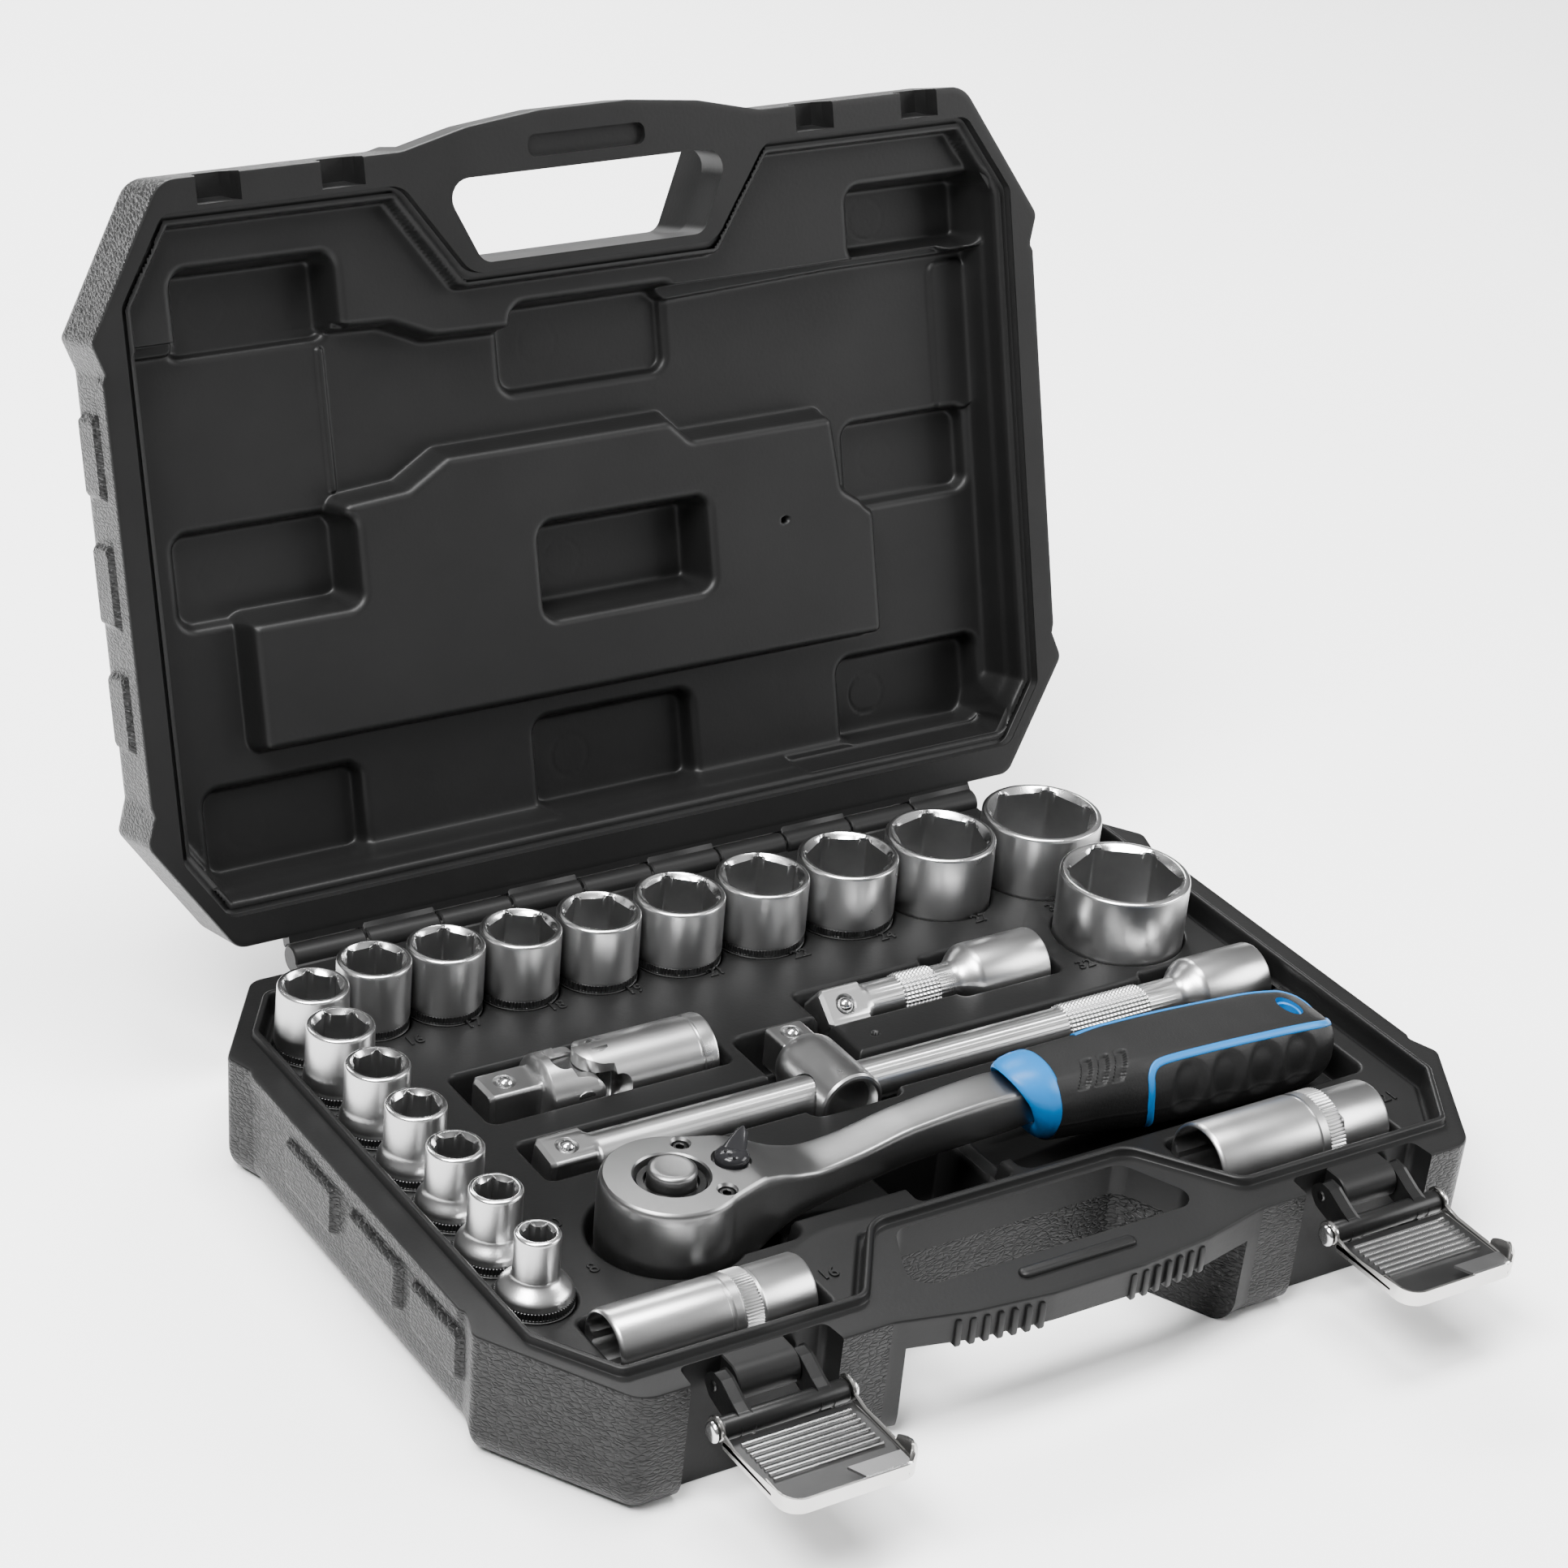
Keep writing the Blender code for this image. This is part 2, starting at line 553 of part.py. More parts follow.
def ball_hole(spot, axis_turn):
    """The blind hole a detent ball sinks into."""
    a = radians(axis_turn)
    rings = []
    for along in (-BALL_R - 1.6, 6.0):
        centre = (spot[1] - along * sin(a), spot[2] + along * cos(a))
        ring = polygon(BALL_R + 0.3, 12)
        rings.append([(spot[0] + u, centre[0] + v * cos(a), centre[1] + v * sin(a)) for u, v in ring])
    return loft(rings)


def extension(name, ends, y, knurl, shoulder, turn):
    """A lying extension bar, its male square towards -X and its socket end towards +X."""
    low, high = ends
    neck = low + 17.0
    profile = [(neck, 6.4), (knurl[0], 6.4), (knurl[0], 7.2), (knurl[1], 7.2), (knurl[1], 6.4),
               (shoulder, 6.4), (shoulder + 8, 11.0), (high - 0.8, 11.0), (high, 10.2)]
    axis = joint(name + "_seat", (0.5 * (low + high), y, BAR_Z))
    bar = piece(name, turned(profile, (y, BAR_Z), "X", 16), SATIN_CHROME, axis)
    add(bar, prism_x(square((y, BAR_Z), DRIVE, turn), low, neck + 1))
    cut(bar, prism_x(square((y, BAR_Z), DRIVE + 0.3), high - 14, high + 1))
    spot = detent_ball(name + "_ball", (low + 7.5, y, BAR_Z), turn, axis)
    cut(bar, ball_hole(spot, turn))
    return axis


def sliding_head(bar_axis):
    """The T-head that slides on the long bar: a sleeve across it, with a square at its back end."""
    axis = joint("sliding_head_axis", (SLEEVE_X, LONG_BAR_Y, BAR_Z), parent=bar_axis)
    centre = (SLEEVE_X, BAR_Z)
    profile = [(-12.0, 9.7), (-11.0, 10.7), (12.5, 10.7), (17.0, 8.4)]
    head = piece("sliding_head", turned(profile, centre, "Y", 18), SATIN_CHROME, axis)
    male = [[(x, y, z) for x, z in square(centre, DRIVE)] for y in (15.0, 28.0)]
    add(head, loft(male))
    cut(head, bore_x(LONG_BAR_Y, BAR_Z, 6.8, SLEEVE_X - 15, SLEEVE_X + 15))
    cut(head, turned([(-14, 8.2), (-8.8, 8.2)], centre, "Y", 16))
    spot = detent_ball("sliding_head_ball", (SLEEVE_X, 22.5, BAR_Z), 0.0, axis)
    cut(head, ball_hole(spot, 0.0))


def universal_joint():
    """Two forks and a cross block: the drive fork pitches on a level pin, the block yaws on the other."""
    y, z = JOINT_Y, BAR_Z
    low, high = JOINT_X
    seat = joint("universal_joint_seat", (YAW_PIN_X, y, z))
    yaw = joint("universal_joint_yaw_axis", (YAW_PIN_X, y, z), parent=seat)
    pitch = joint("universal_joint_pitch_axis", (PITCH_PIN_X, y, z), parent=yaw)
    socket_fork(y, z, high, seat)
    block = [
        (PITCH_PIN_X - 4.6, -3.4), (PITCH_PIN_X - 2.6, -5.7),
        (YAW_PIN_X + 2.6, -5.7), (YAW_PIN_X + 4.6, -3.4),
    ]
    outline = [(x, y + b) for x, b in block] + [(x, y - b) for x, b in reversed(block)]
    cross = piece("universal_joint_block", prism(outline, z - 5.7, z + 5.7), STEEL, yaw)
    cut(cross, turned([(z - 10, 2.35), (z + 10, 2.35)], (YAW_PIN_X, y), "Z", 12),
        turned([(y - 10, 2.35), (y + 10, 2.35)], (PITCH_PIN_X, z), "Y", 12))
    upright = [(z - 11.0, 2.05), (z + 11.0, 2.05)]
    level = [(y - 11.0, 2.05), (y + 11.0, 2.05)]
    piece("universal_joint_upright_pin", turned(upright, (YAW_PIN_X, y), "Z", 12),
          STEEL, seat)
    piece("universal_joint_level_pin", turned(level, (PITCH_PIN_X, z), "Y", 12),
          STEEL, pitch)
    drive_fork(y, z, low, pitch)


def socket_fork(y, z, high, seat):
    start = YAW_PIN_X + 6.5
    profile = [(YAW_PIN_X - 5.0, 10.4), (YAW_PIN_X - 4.0, 11.4), (high - 0.8, 11.4), (high, 10.6)]
    fork = piece("universal_joint_socket_fork", turned(profile, (y, z), "X", 20), SATIN_CHROME, seat)
    cut(fork, box((YAW_PIN_X - 8, y - 14, z - 6.1), (start, y + 14, z + 6.1)))
    cut(fork, box((YAW_PIN_X - 8, y - 14, z - 14), (start - 3, y - 5.2, z + 14)),
        box((YAW_PIN_X - 8, y + 5.2, z - 14), (start - 3, y + 14, z + 14)))
    cut(fork, turned([(z - 14, 2.35), (z + 14, 2.35)], (YAW_PIN_X, y), "Z", 12))
    cut(fork, prism_x(square((y, z), DRIVE + 0.3), high - 14, high + 1))


def drive_fork(y, z, low, axis):
    start = PITCH_PIN_X - 7.8
    turn = 0.0
    profile = [(low + 17, 8.5), (low + 18.5, 11.2), (PITCH_PIN_X + 3.8, 11.2), (PITCH_PIN_X + 4.6, 10.4)]
    fork = piece("universal_joint_drive_fork", turned(profile, (y, z), "X", 20), SATIN_CHROME, axis)
    cut(fork, box((start, y - 6.1, z - 14), (PITCH_PIN_X + 8, y + 6.1, z + 14)))
    cut(fork, box((start + 3, y - 14, z + 4.8), (PITCH_PIN_X + 8, y + 14, z + 14)),
        box((start + 3, y - 14, z - 14), (PITCH_PIN_X + 8, y + 14, z - 4.8)))
    cut(fork, turned([(y - 14, 2.35), (y + 14, 2.35)], (PITCH_PIN_X, z), "Y", 12))
    add(fork, prism_x(square((y, z), DRIVE, turn), low, low + 18))
    spot = detent_ball("universal_joint_ball", (low + 7.5, y, z), turn, axis)
    cut(fork, ball_hole(spot, turn))


# ---- ratchet ----------------------------------------------------------------------------------

SCREWS = [(-81.4, RATCHET_Y + 12.4), (-81.4, RATCHET_Y - 12.4)]
SPINDLE_R, SPINDLE_TOP = 13.0, HEAD_TOP - 4.5


def oval(x, y, z, half_width, half_height, sides=16):
    angles = [tau * (i + 0.5) / sides for i in range(sides)]
    return [(x, y + half_width * cos(a), z + half_height * sin(a)) for a in angles]


def neck_sections():
    """Along the ratchet's neck: place along X, half width, top and underside."""
    return [
        (HEAD_X + 12, 16.5, HEAD_TOP - 1.2, HEAD_BASE + 1.5), (-70.0, 14.0, HEAD_TOP - 1.8, HEAD_BASE + 2.5),
        (-62.0, 10.5, RIM + 8.5, RIM - 7.0), (-50.0, 8.0, RIM + 6.6, RIM - 6.0),
        (-35.0, 7.2, RIM + 8.0, RIM - 3.5), (-15.0, 7.0, RIM + 12.0, RIM - 0.5),
        (16.0, 7.4, RIM + 14.0, RIM + 1.0), (34.0, 6.0, RIM + 11.5, RIM + 2.5),
        (TANG_END, 6.0, RIM + 7.0, RIM - 1.0),
    ]


def neck():
    rings = []
    for x, half, top, base in neck_sections():
        cut_y, cut_z = 0.35 * half, 0.25 * (top - base)
        rings.append([
            (x, RATCHET_Y - half, base + cut_z), (x, RATCHET_Y - half + cut_y, base),
            (x, RATCHET_Y + half - cut_y, base), (x, RATCHET_Y + half, base + cut_z),
            (x, RATCHET_Y + half, top - cut_z), (x, RATCHET_Y + half - cut_y, top),
            (x, RATCHET_Y - half + cut_y, top), (x, RATCHET_Y - half, top - cut_z),
        ])
    return loft(rings)


def ratchet_body(seat):
    centre = (HEAD_X, RATCHET_Y)
    profile = [
        (HEAD_BASE, 18.2), (HEAD_BASE + 2, 19.8), (HEAD_BASE + 10, 20.2),
        (HEAD_TOP - 3, 19.4), (HEAD_TOP, 17.4),
    ]
    body = piece("ratchet_body", turned(profile, centre, "Z", 24), SATIN_CHROME, seat)
    add(body, neck())
    spindle_room = [(HEAD_BASE - 1, SPINDLE_R + 0.5), (SPINDLE_TOP + 0.4, SPINDLE_R + 0.5)]
    cut(body, turned(spindle_room, centre, "Z", 20))
    cut(body, turned([(SPINDLE_TOP - 1, 10.6), (HEAD_TOP + 1, 10.6)], centre, "Z", 20))
    cut(body, box((HEAD_X + 10, RATCHET_Y - 8.4, HEAD_BASE - 1),
                  (SWITCH_X + 3.2, RATCHET_Y + 8.4, SPINDLE_TOP - 1)))
    cut(body, turned([(SPINDLE_TOP - 3, 2.9), (HEAD_TOP + 1, 2.9)], (SWITCH_X, RATCHET_Y), "Z", 12),
        *[turned([(HEAD_BASE - 1, 2.6), (HEAD_TOP + 1, 2.6)], place, "Z", 10) for place in SCREWS])
    return body


def ratchet_internals(seat):
    centre = (HEAD_X, RATCHET_Y)
    cover = turned([(HEAD_BASE - 2.0, 17.5), (HEAD_BASE - GAP, 18.2)], centre, "Z", 24)
    plate = piece("ratchet_base_plate", cover,
                  STEEL, seat)
    cut(plate, turned([(HEAD_BASE - 5, 9.6), (HEAD_BASE + 5, 9.6)], centre, "Z", 16))
    for side, place in zip(("back", "front"), SCREWS):
        piece(f"ratchet_screw_{side}", turned([(HEAD_BASE + 1, 2.2), (HEAD_TOP - 0.8, 2.2)], place, "Z", 10),
              DARK_STEEL, seat)
    spin = joint("ratchet_spindle_axis", (*centre, HEAD_BASE), parent=seat)
    profile = [(HEAD_BASE - 2.5, 9.2), (HEAD_BASE + GAP, 9.2),
               (HEAD_BASE + GAP, SPINDLE_R), (SPINDLE_TOP, SPINDLE_R),
               (SPINDLE_TOP, 10.2), (HEAD_TOP - 1.8, 10.2)]
    spindle = piece("ratchet_spindle", turned(profile, centre, "Z", 20), STEEL, spin)
    add(spindle, prism(square(centre, DRIVE), HEAD_BASE - 17.5, HEAD_BASE - 1))
    cut(spindle, turned([(HEAD_TOP - 12, 7.3), (HEAD_TOP, 7.3)], centre, "Z", 16))
    release = joint("quick_release_axis", (*centre, HEAD_TOP), parent=spin)
    profile = [(HEAD_TOP - 8.0, 7.0), (HEAD_TOP + 2.0, 7.0), (HEAD_TOP + 2.8, 6.2)]
    piece("quick_release_button", turned(profile, centre, "Z", 16), SATIN_CHROME, release)
    shift = joint("ratchet_pawl_axis", (HEAD_X + SPINDLE_R + 1.7, RATCHET_Y, RIM), parent=seat)
    pawl = box((HEAD_X + SPINDLE_R + 0.4, RATCHET_Y - 3.9, RIM - 7),
               (SWITCH_X - 2.9, RATCHET_Y + 7.1, RIM + 6))
    piece("ratchet_pawl", pawl, STEEL, shift)


def reversing_lever(seat):
    """A round hub with a raised thumb tab, thrown to the back side."""
    axis = joint("reversing_lever_axis", (SWITCH_X, RATCHET_Y, HEAD_TOP), parent=seat)
    centre = (SWITCH_X, RATCHET_Y)
    profile = [(SPINDLE_TOP - 2.5, 2.6), (HEAD_TOP + 0.3, 2.6), (HEAD_TOP + 0.3, 4.6), (HEAD_TOP + 2.6, 4.2)]
    lever = piece("reversing_lever", turned(profile, centre, "Z", 14), DARK_STEEL, axis)
    a = radians(38)
    forward, aside = Vector((cos(a), sin(a))), Vector((-sin(a), cos(a)))
    rings = []
    for along, half, low, high in [(0.0, 3.6, 0.6, 2.2), (5.0, 3.3, 0.6, 3.8), (9.2, 2.0, 0.9, 4.8)]:
        left = Vector(centre) + forward * along + aside * half
        right = Vector(centre) + forward * along - aside * half
        rings.append([(*left, HEAD_TOP + low), (*right, HEAD_TOP + low), (*right, HEAD_TOP + high),
                      (*left, HEAD_TOP + high)])
    add(lever, loft(rings))


def ratchet_grip(seat):
    """A blue core with a flared collar on the steel tang, and a rubber sleeve over it."""
    tang = neck()
    core = piece("grip_core", grip_solid([
        (18.0, 8.6, 11.6, 10.2), (21.5, 8.0, 13.6, 12.8), (30.2, 6.8, 13.2, 12.4), (30.2, 6.8, 10.4, 9.4),
        (119.5, 1.4, 10.4, 9.4), (130.5, 0.7, 7.8, 7.0),
    ]), BLUE, seat)
    for vert in tang.verts:
        vert.co.x += GAP * (1 if vert.co.x > TANG_END - 1 else 0)
        vert.co.y += GAP * (1 if vert.co.y > RATCHET_Y else -1)
        vert.co.z += GAP * (1 if vert.co.z > tang_middle(vert.co.x) else -1)
    cut(core, tang)
    sleeve = piece("grip_rubber", grip_solid([
        (GRIP_X[0], 6.7, 13.3, 12.5), (36.0, 6.4, 13.4, 12.7), (48.0, 5.8, 13.8, 13.3),
        (62.0, 4.8, 15.0, 14.5),
        (88.0, 3.2, 15.4, 15.0), (112.0, 1.8, 15.2, 14.8), (127.5, 1.0, 13.8, 13.4), (134.8, 0.6, 10.8, 10.4),
        (GRIP_X[1], 0.5, 6.5, 6.0),
    ]), RUBBER, seat)
    cut(sleeve, grip_solid([
        (20.0, 6.8, 10.7, 9.7), (30.2, 6.8, 10.7, 9.7), (119.5, 1.4, 10.7, 9.7), (130.8, 0.7, 8.1, 7.3),
    ]))
    cut(sleeve, hanging_hole())
    cut(core, hanging_hole())


def grip_solid(sections):
    """A solid through ovals: place along X, height of the middle over the rim, half width, half height."""
    return loft([oval(x, RATCHET_Y, RIM + up, width, height) for x, up, width, height in sections])


def tang_middle(x):
    """Height of the tang's and neck's middle at x."""
    sections = neck_sections()
    for near, far in zip(sections, sections[1:]):
        if x <= far[0] + 1:
            share = (x - near[0]) / (far[0] - near[0])
            return 0.5 * ((near[2] + near[3]) * (1 - share) + (far[2] + far[3]) * share)
    return 0.5 * (sections[-1][2] + sections[-1][3])


def hanging_hole():
    """An oval hole through the grip's end, beyond the tang's tip."""
    angles = [tau * i / 12 for i in range(12)]
    outline = [(HANG_HOLE_X + 3.2 * cos(a), RATCHET_Y + 5.0 * sin(a)) for a in angles]
    return prism(outline, RIM - 20, RIM + 25)


def ratchet():
    seat = joint("ratchet_seat", (HEAD_X, RATCHET_Y, HEAD_BASE))
    ratchet_body(seat)
    ratchet_internals(seat)
    reversing_lever(seat)
    ratchet_grip(seat)


def main():
    for old in list(bpy.data.objects):
        bpy.data.objects.remove(old, do_unlink=True)
    tray_shell()
    lid_shell(joint("lid_hinge_axis", (0.0, HINGE_Y, HINGE_Z), turn=-LID_OPEN))
    piece("hinge_pin", turned([(-122, HINGE_PIN_R), (122, HINGE_PIN_R)], (HINGE_Y, HINGE_Z), "X", 12), NICKEL)
    latch("left", -LATCH_X)
    latch("right", LATCH_X)
    for size, place in SOCKETS.items():
        upright_socket(size, place)
    for size, (low, high, y, z, radius) in PLUG_SOCKETS.items():
        plug_socket(size, low, high, y, z, radius)
    bar_axis = extension("long_extension", LONG_BAR_X, LONG_BAR_Y, (74.0, 104.0), 116.0, 8.0)
    sliding_head(bar_axis)
    extension("short_extension", SHORT_BAR_X, SHORT_BAR_Y, (38.0, 51.0), 57.0, 40.0)
    universal_joint()
    ratchet()


main()
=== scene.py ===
from math import atan2, cos, degrees, hypot, pi, radians, sin, sqrt, tan, tau

import bmesh
import bpy
import numpy as np
from mathutils import Matrix, Vector


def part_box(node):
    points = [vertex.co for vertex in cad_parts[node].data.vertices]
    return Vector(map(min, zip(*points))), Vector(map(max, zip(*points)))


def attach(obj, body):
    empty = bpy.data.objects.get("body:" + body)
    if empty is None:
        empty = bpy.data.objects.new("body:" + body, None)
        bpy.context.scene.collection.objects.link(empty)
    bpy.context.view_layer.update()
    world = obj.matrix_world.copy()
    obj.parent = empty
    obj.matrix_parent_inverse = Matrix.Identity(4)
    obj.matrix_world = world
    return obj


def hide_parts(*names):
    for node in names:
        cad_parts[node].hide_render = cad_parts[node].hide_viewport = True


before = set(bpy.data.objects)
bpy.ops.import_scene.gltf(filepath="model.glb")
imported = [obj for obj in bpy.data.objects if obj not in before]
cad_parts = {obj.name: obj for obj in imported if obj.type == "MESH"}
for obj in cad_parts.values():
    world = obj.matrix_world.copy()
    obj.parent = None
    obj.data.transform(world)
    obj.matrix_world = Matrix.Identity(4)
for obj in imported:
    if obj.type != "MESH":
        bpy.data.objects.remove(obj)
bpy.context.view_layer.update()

MM = 0.001
RIM = 39.0
LID_GAP, LID_DEPTH, LID_OPEN = 0.4, 32.0, 106.4
HINGE = (119.9, RIM)
FRONT, BACK = -113.5, 113.5
DECK = RIM - 4.0
DRIVE = 12.7
KNUCKLE_HALF = 12.1


def node_box(name):
    """A CAD node's corners in millimetres."""
    low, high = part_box(name)
    return np.array(low) / MM, np.array(high) / MM


def middle(name):
    """A CAD node's middle in millimetres."""
    low, high = node_box(name)
    return 0.5 * (low + high)


# ---------------- meshes


def join_body(obj, body, replaces=()):
    """Lets a piece ride on its body, in place of its CAD nodes."""
    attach(obj, body)
    if replaces:
        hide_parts(*([replaces] if isinstance(replaces, str) else replaces))


def put(name, data):
    """A new object in the scene."""
    made = bpy.data.objects.new(name, data)
    bpy.context.scene.collection.objects.link(made)
    return made


def make(name, verts, faces, mats, body, replaces=(), angle=32, face_mats=None, weighted=False):
    """A piece from vertices in millimetres."""
    verts = np.asarray(verts, float) * MM
    mesh = bpy.data.meshes.new(name)
    mesh.from_pydata(verts.tolist(), [], faces)
    mesh.update()
    made = put(name, mesh)
    for mat in mats if isinstance(mats, (list, tuple)) else [mats]:
        mesh.materials.append(mat)
    if face_mats is not None:
        mesh.polygons.foreach_set("material_index", np.asarray(face_mats, np.int32))
    mesh.shade_smooth()
    if angle:
        mesh.set_sharp_from_angle(angle=radians(angle))
    if weighted:
        made.modifiers.new("weighted", "WEIGHTED_NORMAL").keep_sharp = True
    if body:
        join_body(made, body, replaces)
    return made


class Build:
    """Collects several lofted solids into one piece's vertices and faces."""

    def __init__(self):
        self.verts, self.faces, self.mats, self.count = [], [], [], 0

    def add(self, verts, faces, mat=0):
        verts = np.asarray(verts, float).reshape(-1, 3)
        self.verts.append(verts)
        self.faces += [tuple(int(i) + self.count for i in f) for f in faces]
        self.mats += [mat] * len(faces)
        self.count += len(verts)
        return self

    def rings(self, rings, mat=0, caps=(True, True), torus=False, flip=False):
        """Rings of as many points each, in order; torus joins the last to the first."""
        rings = np.asarray(rings, float)
        r, n = rings.shape[:2]
        i = np.arange(n)
        j = (i + 1) % n
        quads = []
        for k in range(r if torus else r - 1):
            a, b = k * n, ((k + 1) % r) * n
            quads.append(np.stack([a + i, a + j, b + j, b + i], 1))
        quads = np.concatenate(quads)
        if flip:
            quads = quads[:, ::-1]
        faces = [tuple(q) for q in quads.tolist()]
        if not torus:
            first, last = tuple(range(n))[::-1], tuple(range((r - 1) * n, r * n))
            if flip:
                first, last = first[::-1], last[::-1]
            faces += [first] if caps[0] else []
            faces += [last] if caps[1] else []
        return self.add(rings.reshape(-1, 3), faces, mat)

    def points(self):
        return np.concatenate(self.verts)

    def make(self, name, mats, body, replaces=(), angle=32, weighted=False, turn=None):
        verts = self.points()
        if turn is not None:
            verts = turn(verts)
        return make(name, verts, self.faces, mats, body, replaces, angle, self.mats, weighted)


def solid(name, build, mat, turn=None):
    """A helper object for Booleans, not shown as a piece."""
    verts = build.points()
    if turn is not None:
        verts = turn(verts)
    mesh = bpy.data.meshes.new(name)
    mesh.from_pydata((verts * MM).tolist(), [], build.faces)
    mesh.update()
    made = put(name, mesh)
    for m in mat if isinstance(mat, (list, tuple)) else [mat]:
        mesh.materials.append(m)
    mesh.polygons.foreach_set("material_index", np.asarray(build.mats, np.int32))
    return made


def fix_normals(obj):
    """Every face turned outwards."""
    bm = bmesh.new()
    bm.from_mesh(obj.data)
    bmesh.ops.recalc_face_normals(bm, faces=bm.faces)
    bm.to_mesh(obj.data)
    bm.free()


def boolean(target, tools, operation="DIFFERENCE", overlapping=False):
    """Joins the tools in one mesh and applies it to the target."""
    bm = bmesh.new()
    slots = list(target.data.materials)
    for tool in tools:
        fix_normals(tool)
        part = bmesh.new()
        part.from_mesh(tool.data)
        for f in part.faces:
            mat = tool.data.materials[f.material_index]
            if mat not in slots:
                slots.append(mat)
            f.material_index = slots.index(mat)
        temp = bpy.data.meshes.new("temp")
        part.to_mesh(temp)
        part.free()
        bm.from_mesh(temp)
        bpy.data.meshes.remove(temp)
        bpy.data.objects.remove(tool)
    for m in slots[len(target.data.materials):]:
        target.data.materials.append(m)
    mesh = bpy.data.meshes.new("tool")
    bm.to_mesh(mesh)
    bm.free()
    for m in slots:
        mesh.materials.append(m)
    tool = put("tool", mesh)
    mod = target.modifiers.new("bool", "BOOLEAN")
    mod.operation, mod.solver, mod.object, mod.use_self = operation, "EXACT", tool, overlapping
    apply_modifiers(target)
    bpy.data.objects.remove(tool)
    return target


def apply_modifiers(obj):
    """The object with its modifiers worked into its mesh."""
    bpy.context.view_layer.update()
    deps = bpy.context.evaluated_depsgraph_get()
    mesh = bpy.data.meshes.new_from_object(obj.evaluated_get(deps), preserve_all_data_layers=True,
        depsgraph=deps)
    old = obj.data
    obj.modifiers.clear()
    obj.data = mesh
    bpy.data.meshes.remove(old)


def bevel(obj, width, segments=2, angle=38):
    mod = obj.modifiers.new("bevel", "BEVEL")
    mod.width, mod.segments, mod.angle_limit = width * MM, segments, radians(angle)
    mod.limit_method, mod.use_clamp_overlap, mod.harden_normals = "ANGLE", True, False
    mod.miter_outer = "MITER_ARC"
    apply_modifiers(obj)


def finish_piece(obj, body, replaces, angle=32, weighted=True):
    obj.data.shade_smooth()
    obj.data.set_sharp_from_angle(angle=radians(angle))
    if weighted:
        obj.modifiers.new("weighted", "WEIGHTED_NORMAL").keep_sharp = True
    join_body(obj, body, replaces)
    return obj


# ---------------- outlines

def mirrored(half):
    return half + [(-x, y) for x, y in reversed(half)]


def offset(outline, distance):
    """The outline moved inwards by a distance."""
    points, moved = [Vector(p) for p in outline], []
    for i, p in enumerate(points):
        before = (p - points[i - 1]).normalized()
        after = (points[(i + 1) % len(points)] - p).normalized()
        side = Vector((-before.y - after.y, before.x + after.x))
        moved.append(p + side * (distance / (1 + before.dot(after))))
    return [tuple(p) for p in moved]


def rounded(outline, radius, steps=6):
    """An outline with each corner an arc; radius is one number or one for each corner."""
    radii = radius if isinstance(radius, (list, tuple)) else [radius] * len(outline)
    points, out = [Vector(p) for p in outline], []
    for i, p in enumerate(points):
        a, b = points[i - 1] - p, points[(i + 1) % len(points)] - p
        half = 0.5 * a.angle(b)
        reach = min(radii[i] / tan(half), 0.48 * a.length, 0.48 * b.length)
        r = reach * tan(half)
        start, end = p + a.normalized() * reach, p + b.normalized() * reach
        centre = p + (a.normalized() + b.normalized()).normalized() * (r / sin(half))
        u, v = start - centre, end - centre
        sweep = u.angle(v) if u.length > 1e-9 else 0
        for k in range(steps + 1):
            t = k / steps
            if sweep < 1e-4:
                q = start.lerp(end, t)
            else:
                q = centre + (u * sin((1 - t) * sweep) + v * sin(t * sweep)) / sin(sweep)
            out.append((q.x, q.y))
    return out


def at_z(outline, z):
    return [(x, y, z) for x, y in outline]


def prism(outline, low, high, mat=0):
    return Build().rings([at_z(outline, low), at_z(outline, high)], mat)


def prism_y(outline, low, high):
    return Build().rings([[(x, y, z) for x, z in outline] for y in (low, high)])


def rect(x0, x1, y0, y1):
    return [(x0, y0), (x1, y0), (x1, y1), (x0, y1)]


def segment_distance(x, y, outline):
    """Signed distance to a closed outline, negative inside."""
    pts = np.asarray(outline, float)
    best = np.full(x.shape, 1e9)
    inside = np.zeros(x.shape, bool)
    for (x0, y0), (x1, y1) in zip(pts, np.roll(pts, -1, 0)):
        dx, dy = x1 - x0, y1 - y0
        t = np.clip(((x - x0) * dx + (y - y0) * dy) / (dx * dx + dy * dy + 1e-12), 0, 1)
        best = np.minimum(best, np.hypot(x - x0 - t * dx, y - y0 - t * dy))
        crosses = (y0 > y) != (y1 > y)
        with np.errstate(divide="ignore", invalid="ignore"):
            inside ^= crosses & (x < x0 + (y - y0) * dx / (dy if dy else 1e-12))
    return np.where(inside, -best, best)


def box_distance(x, y, x0, x1, y0, y1, radius):
    """Signed distance to a rounded rectangle."""
    qx = np.abs(x - 0.5 * (x0 + x1)) - 0.5 * (x1 - x0) + radius
    qy = np.abs(y - 0.5 * (y0 + y1)) - 0.5 * (y1 - y0) + radius
    return np.hypot(np.maximum(qx, 0), np.maximum(qy, 0)) + np.minimum(np.maximum(qx, qy), 0) - radius


def smax(a, b, k):
    return 0.5 * (a + b + np.sqrt((a - b) ** 2 + k * k))


def smin(a, b, k):
    return 0.5 * (a + b - np.sqrt((a - b) ** 2 + k * k))


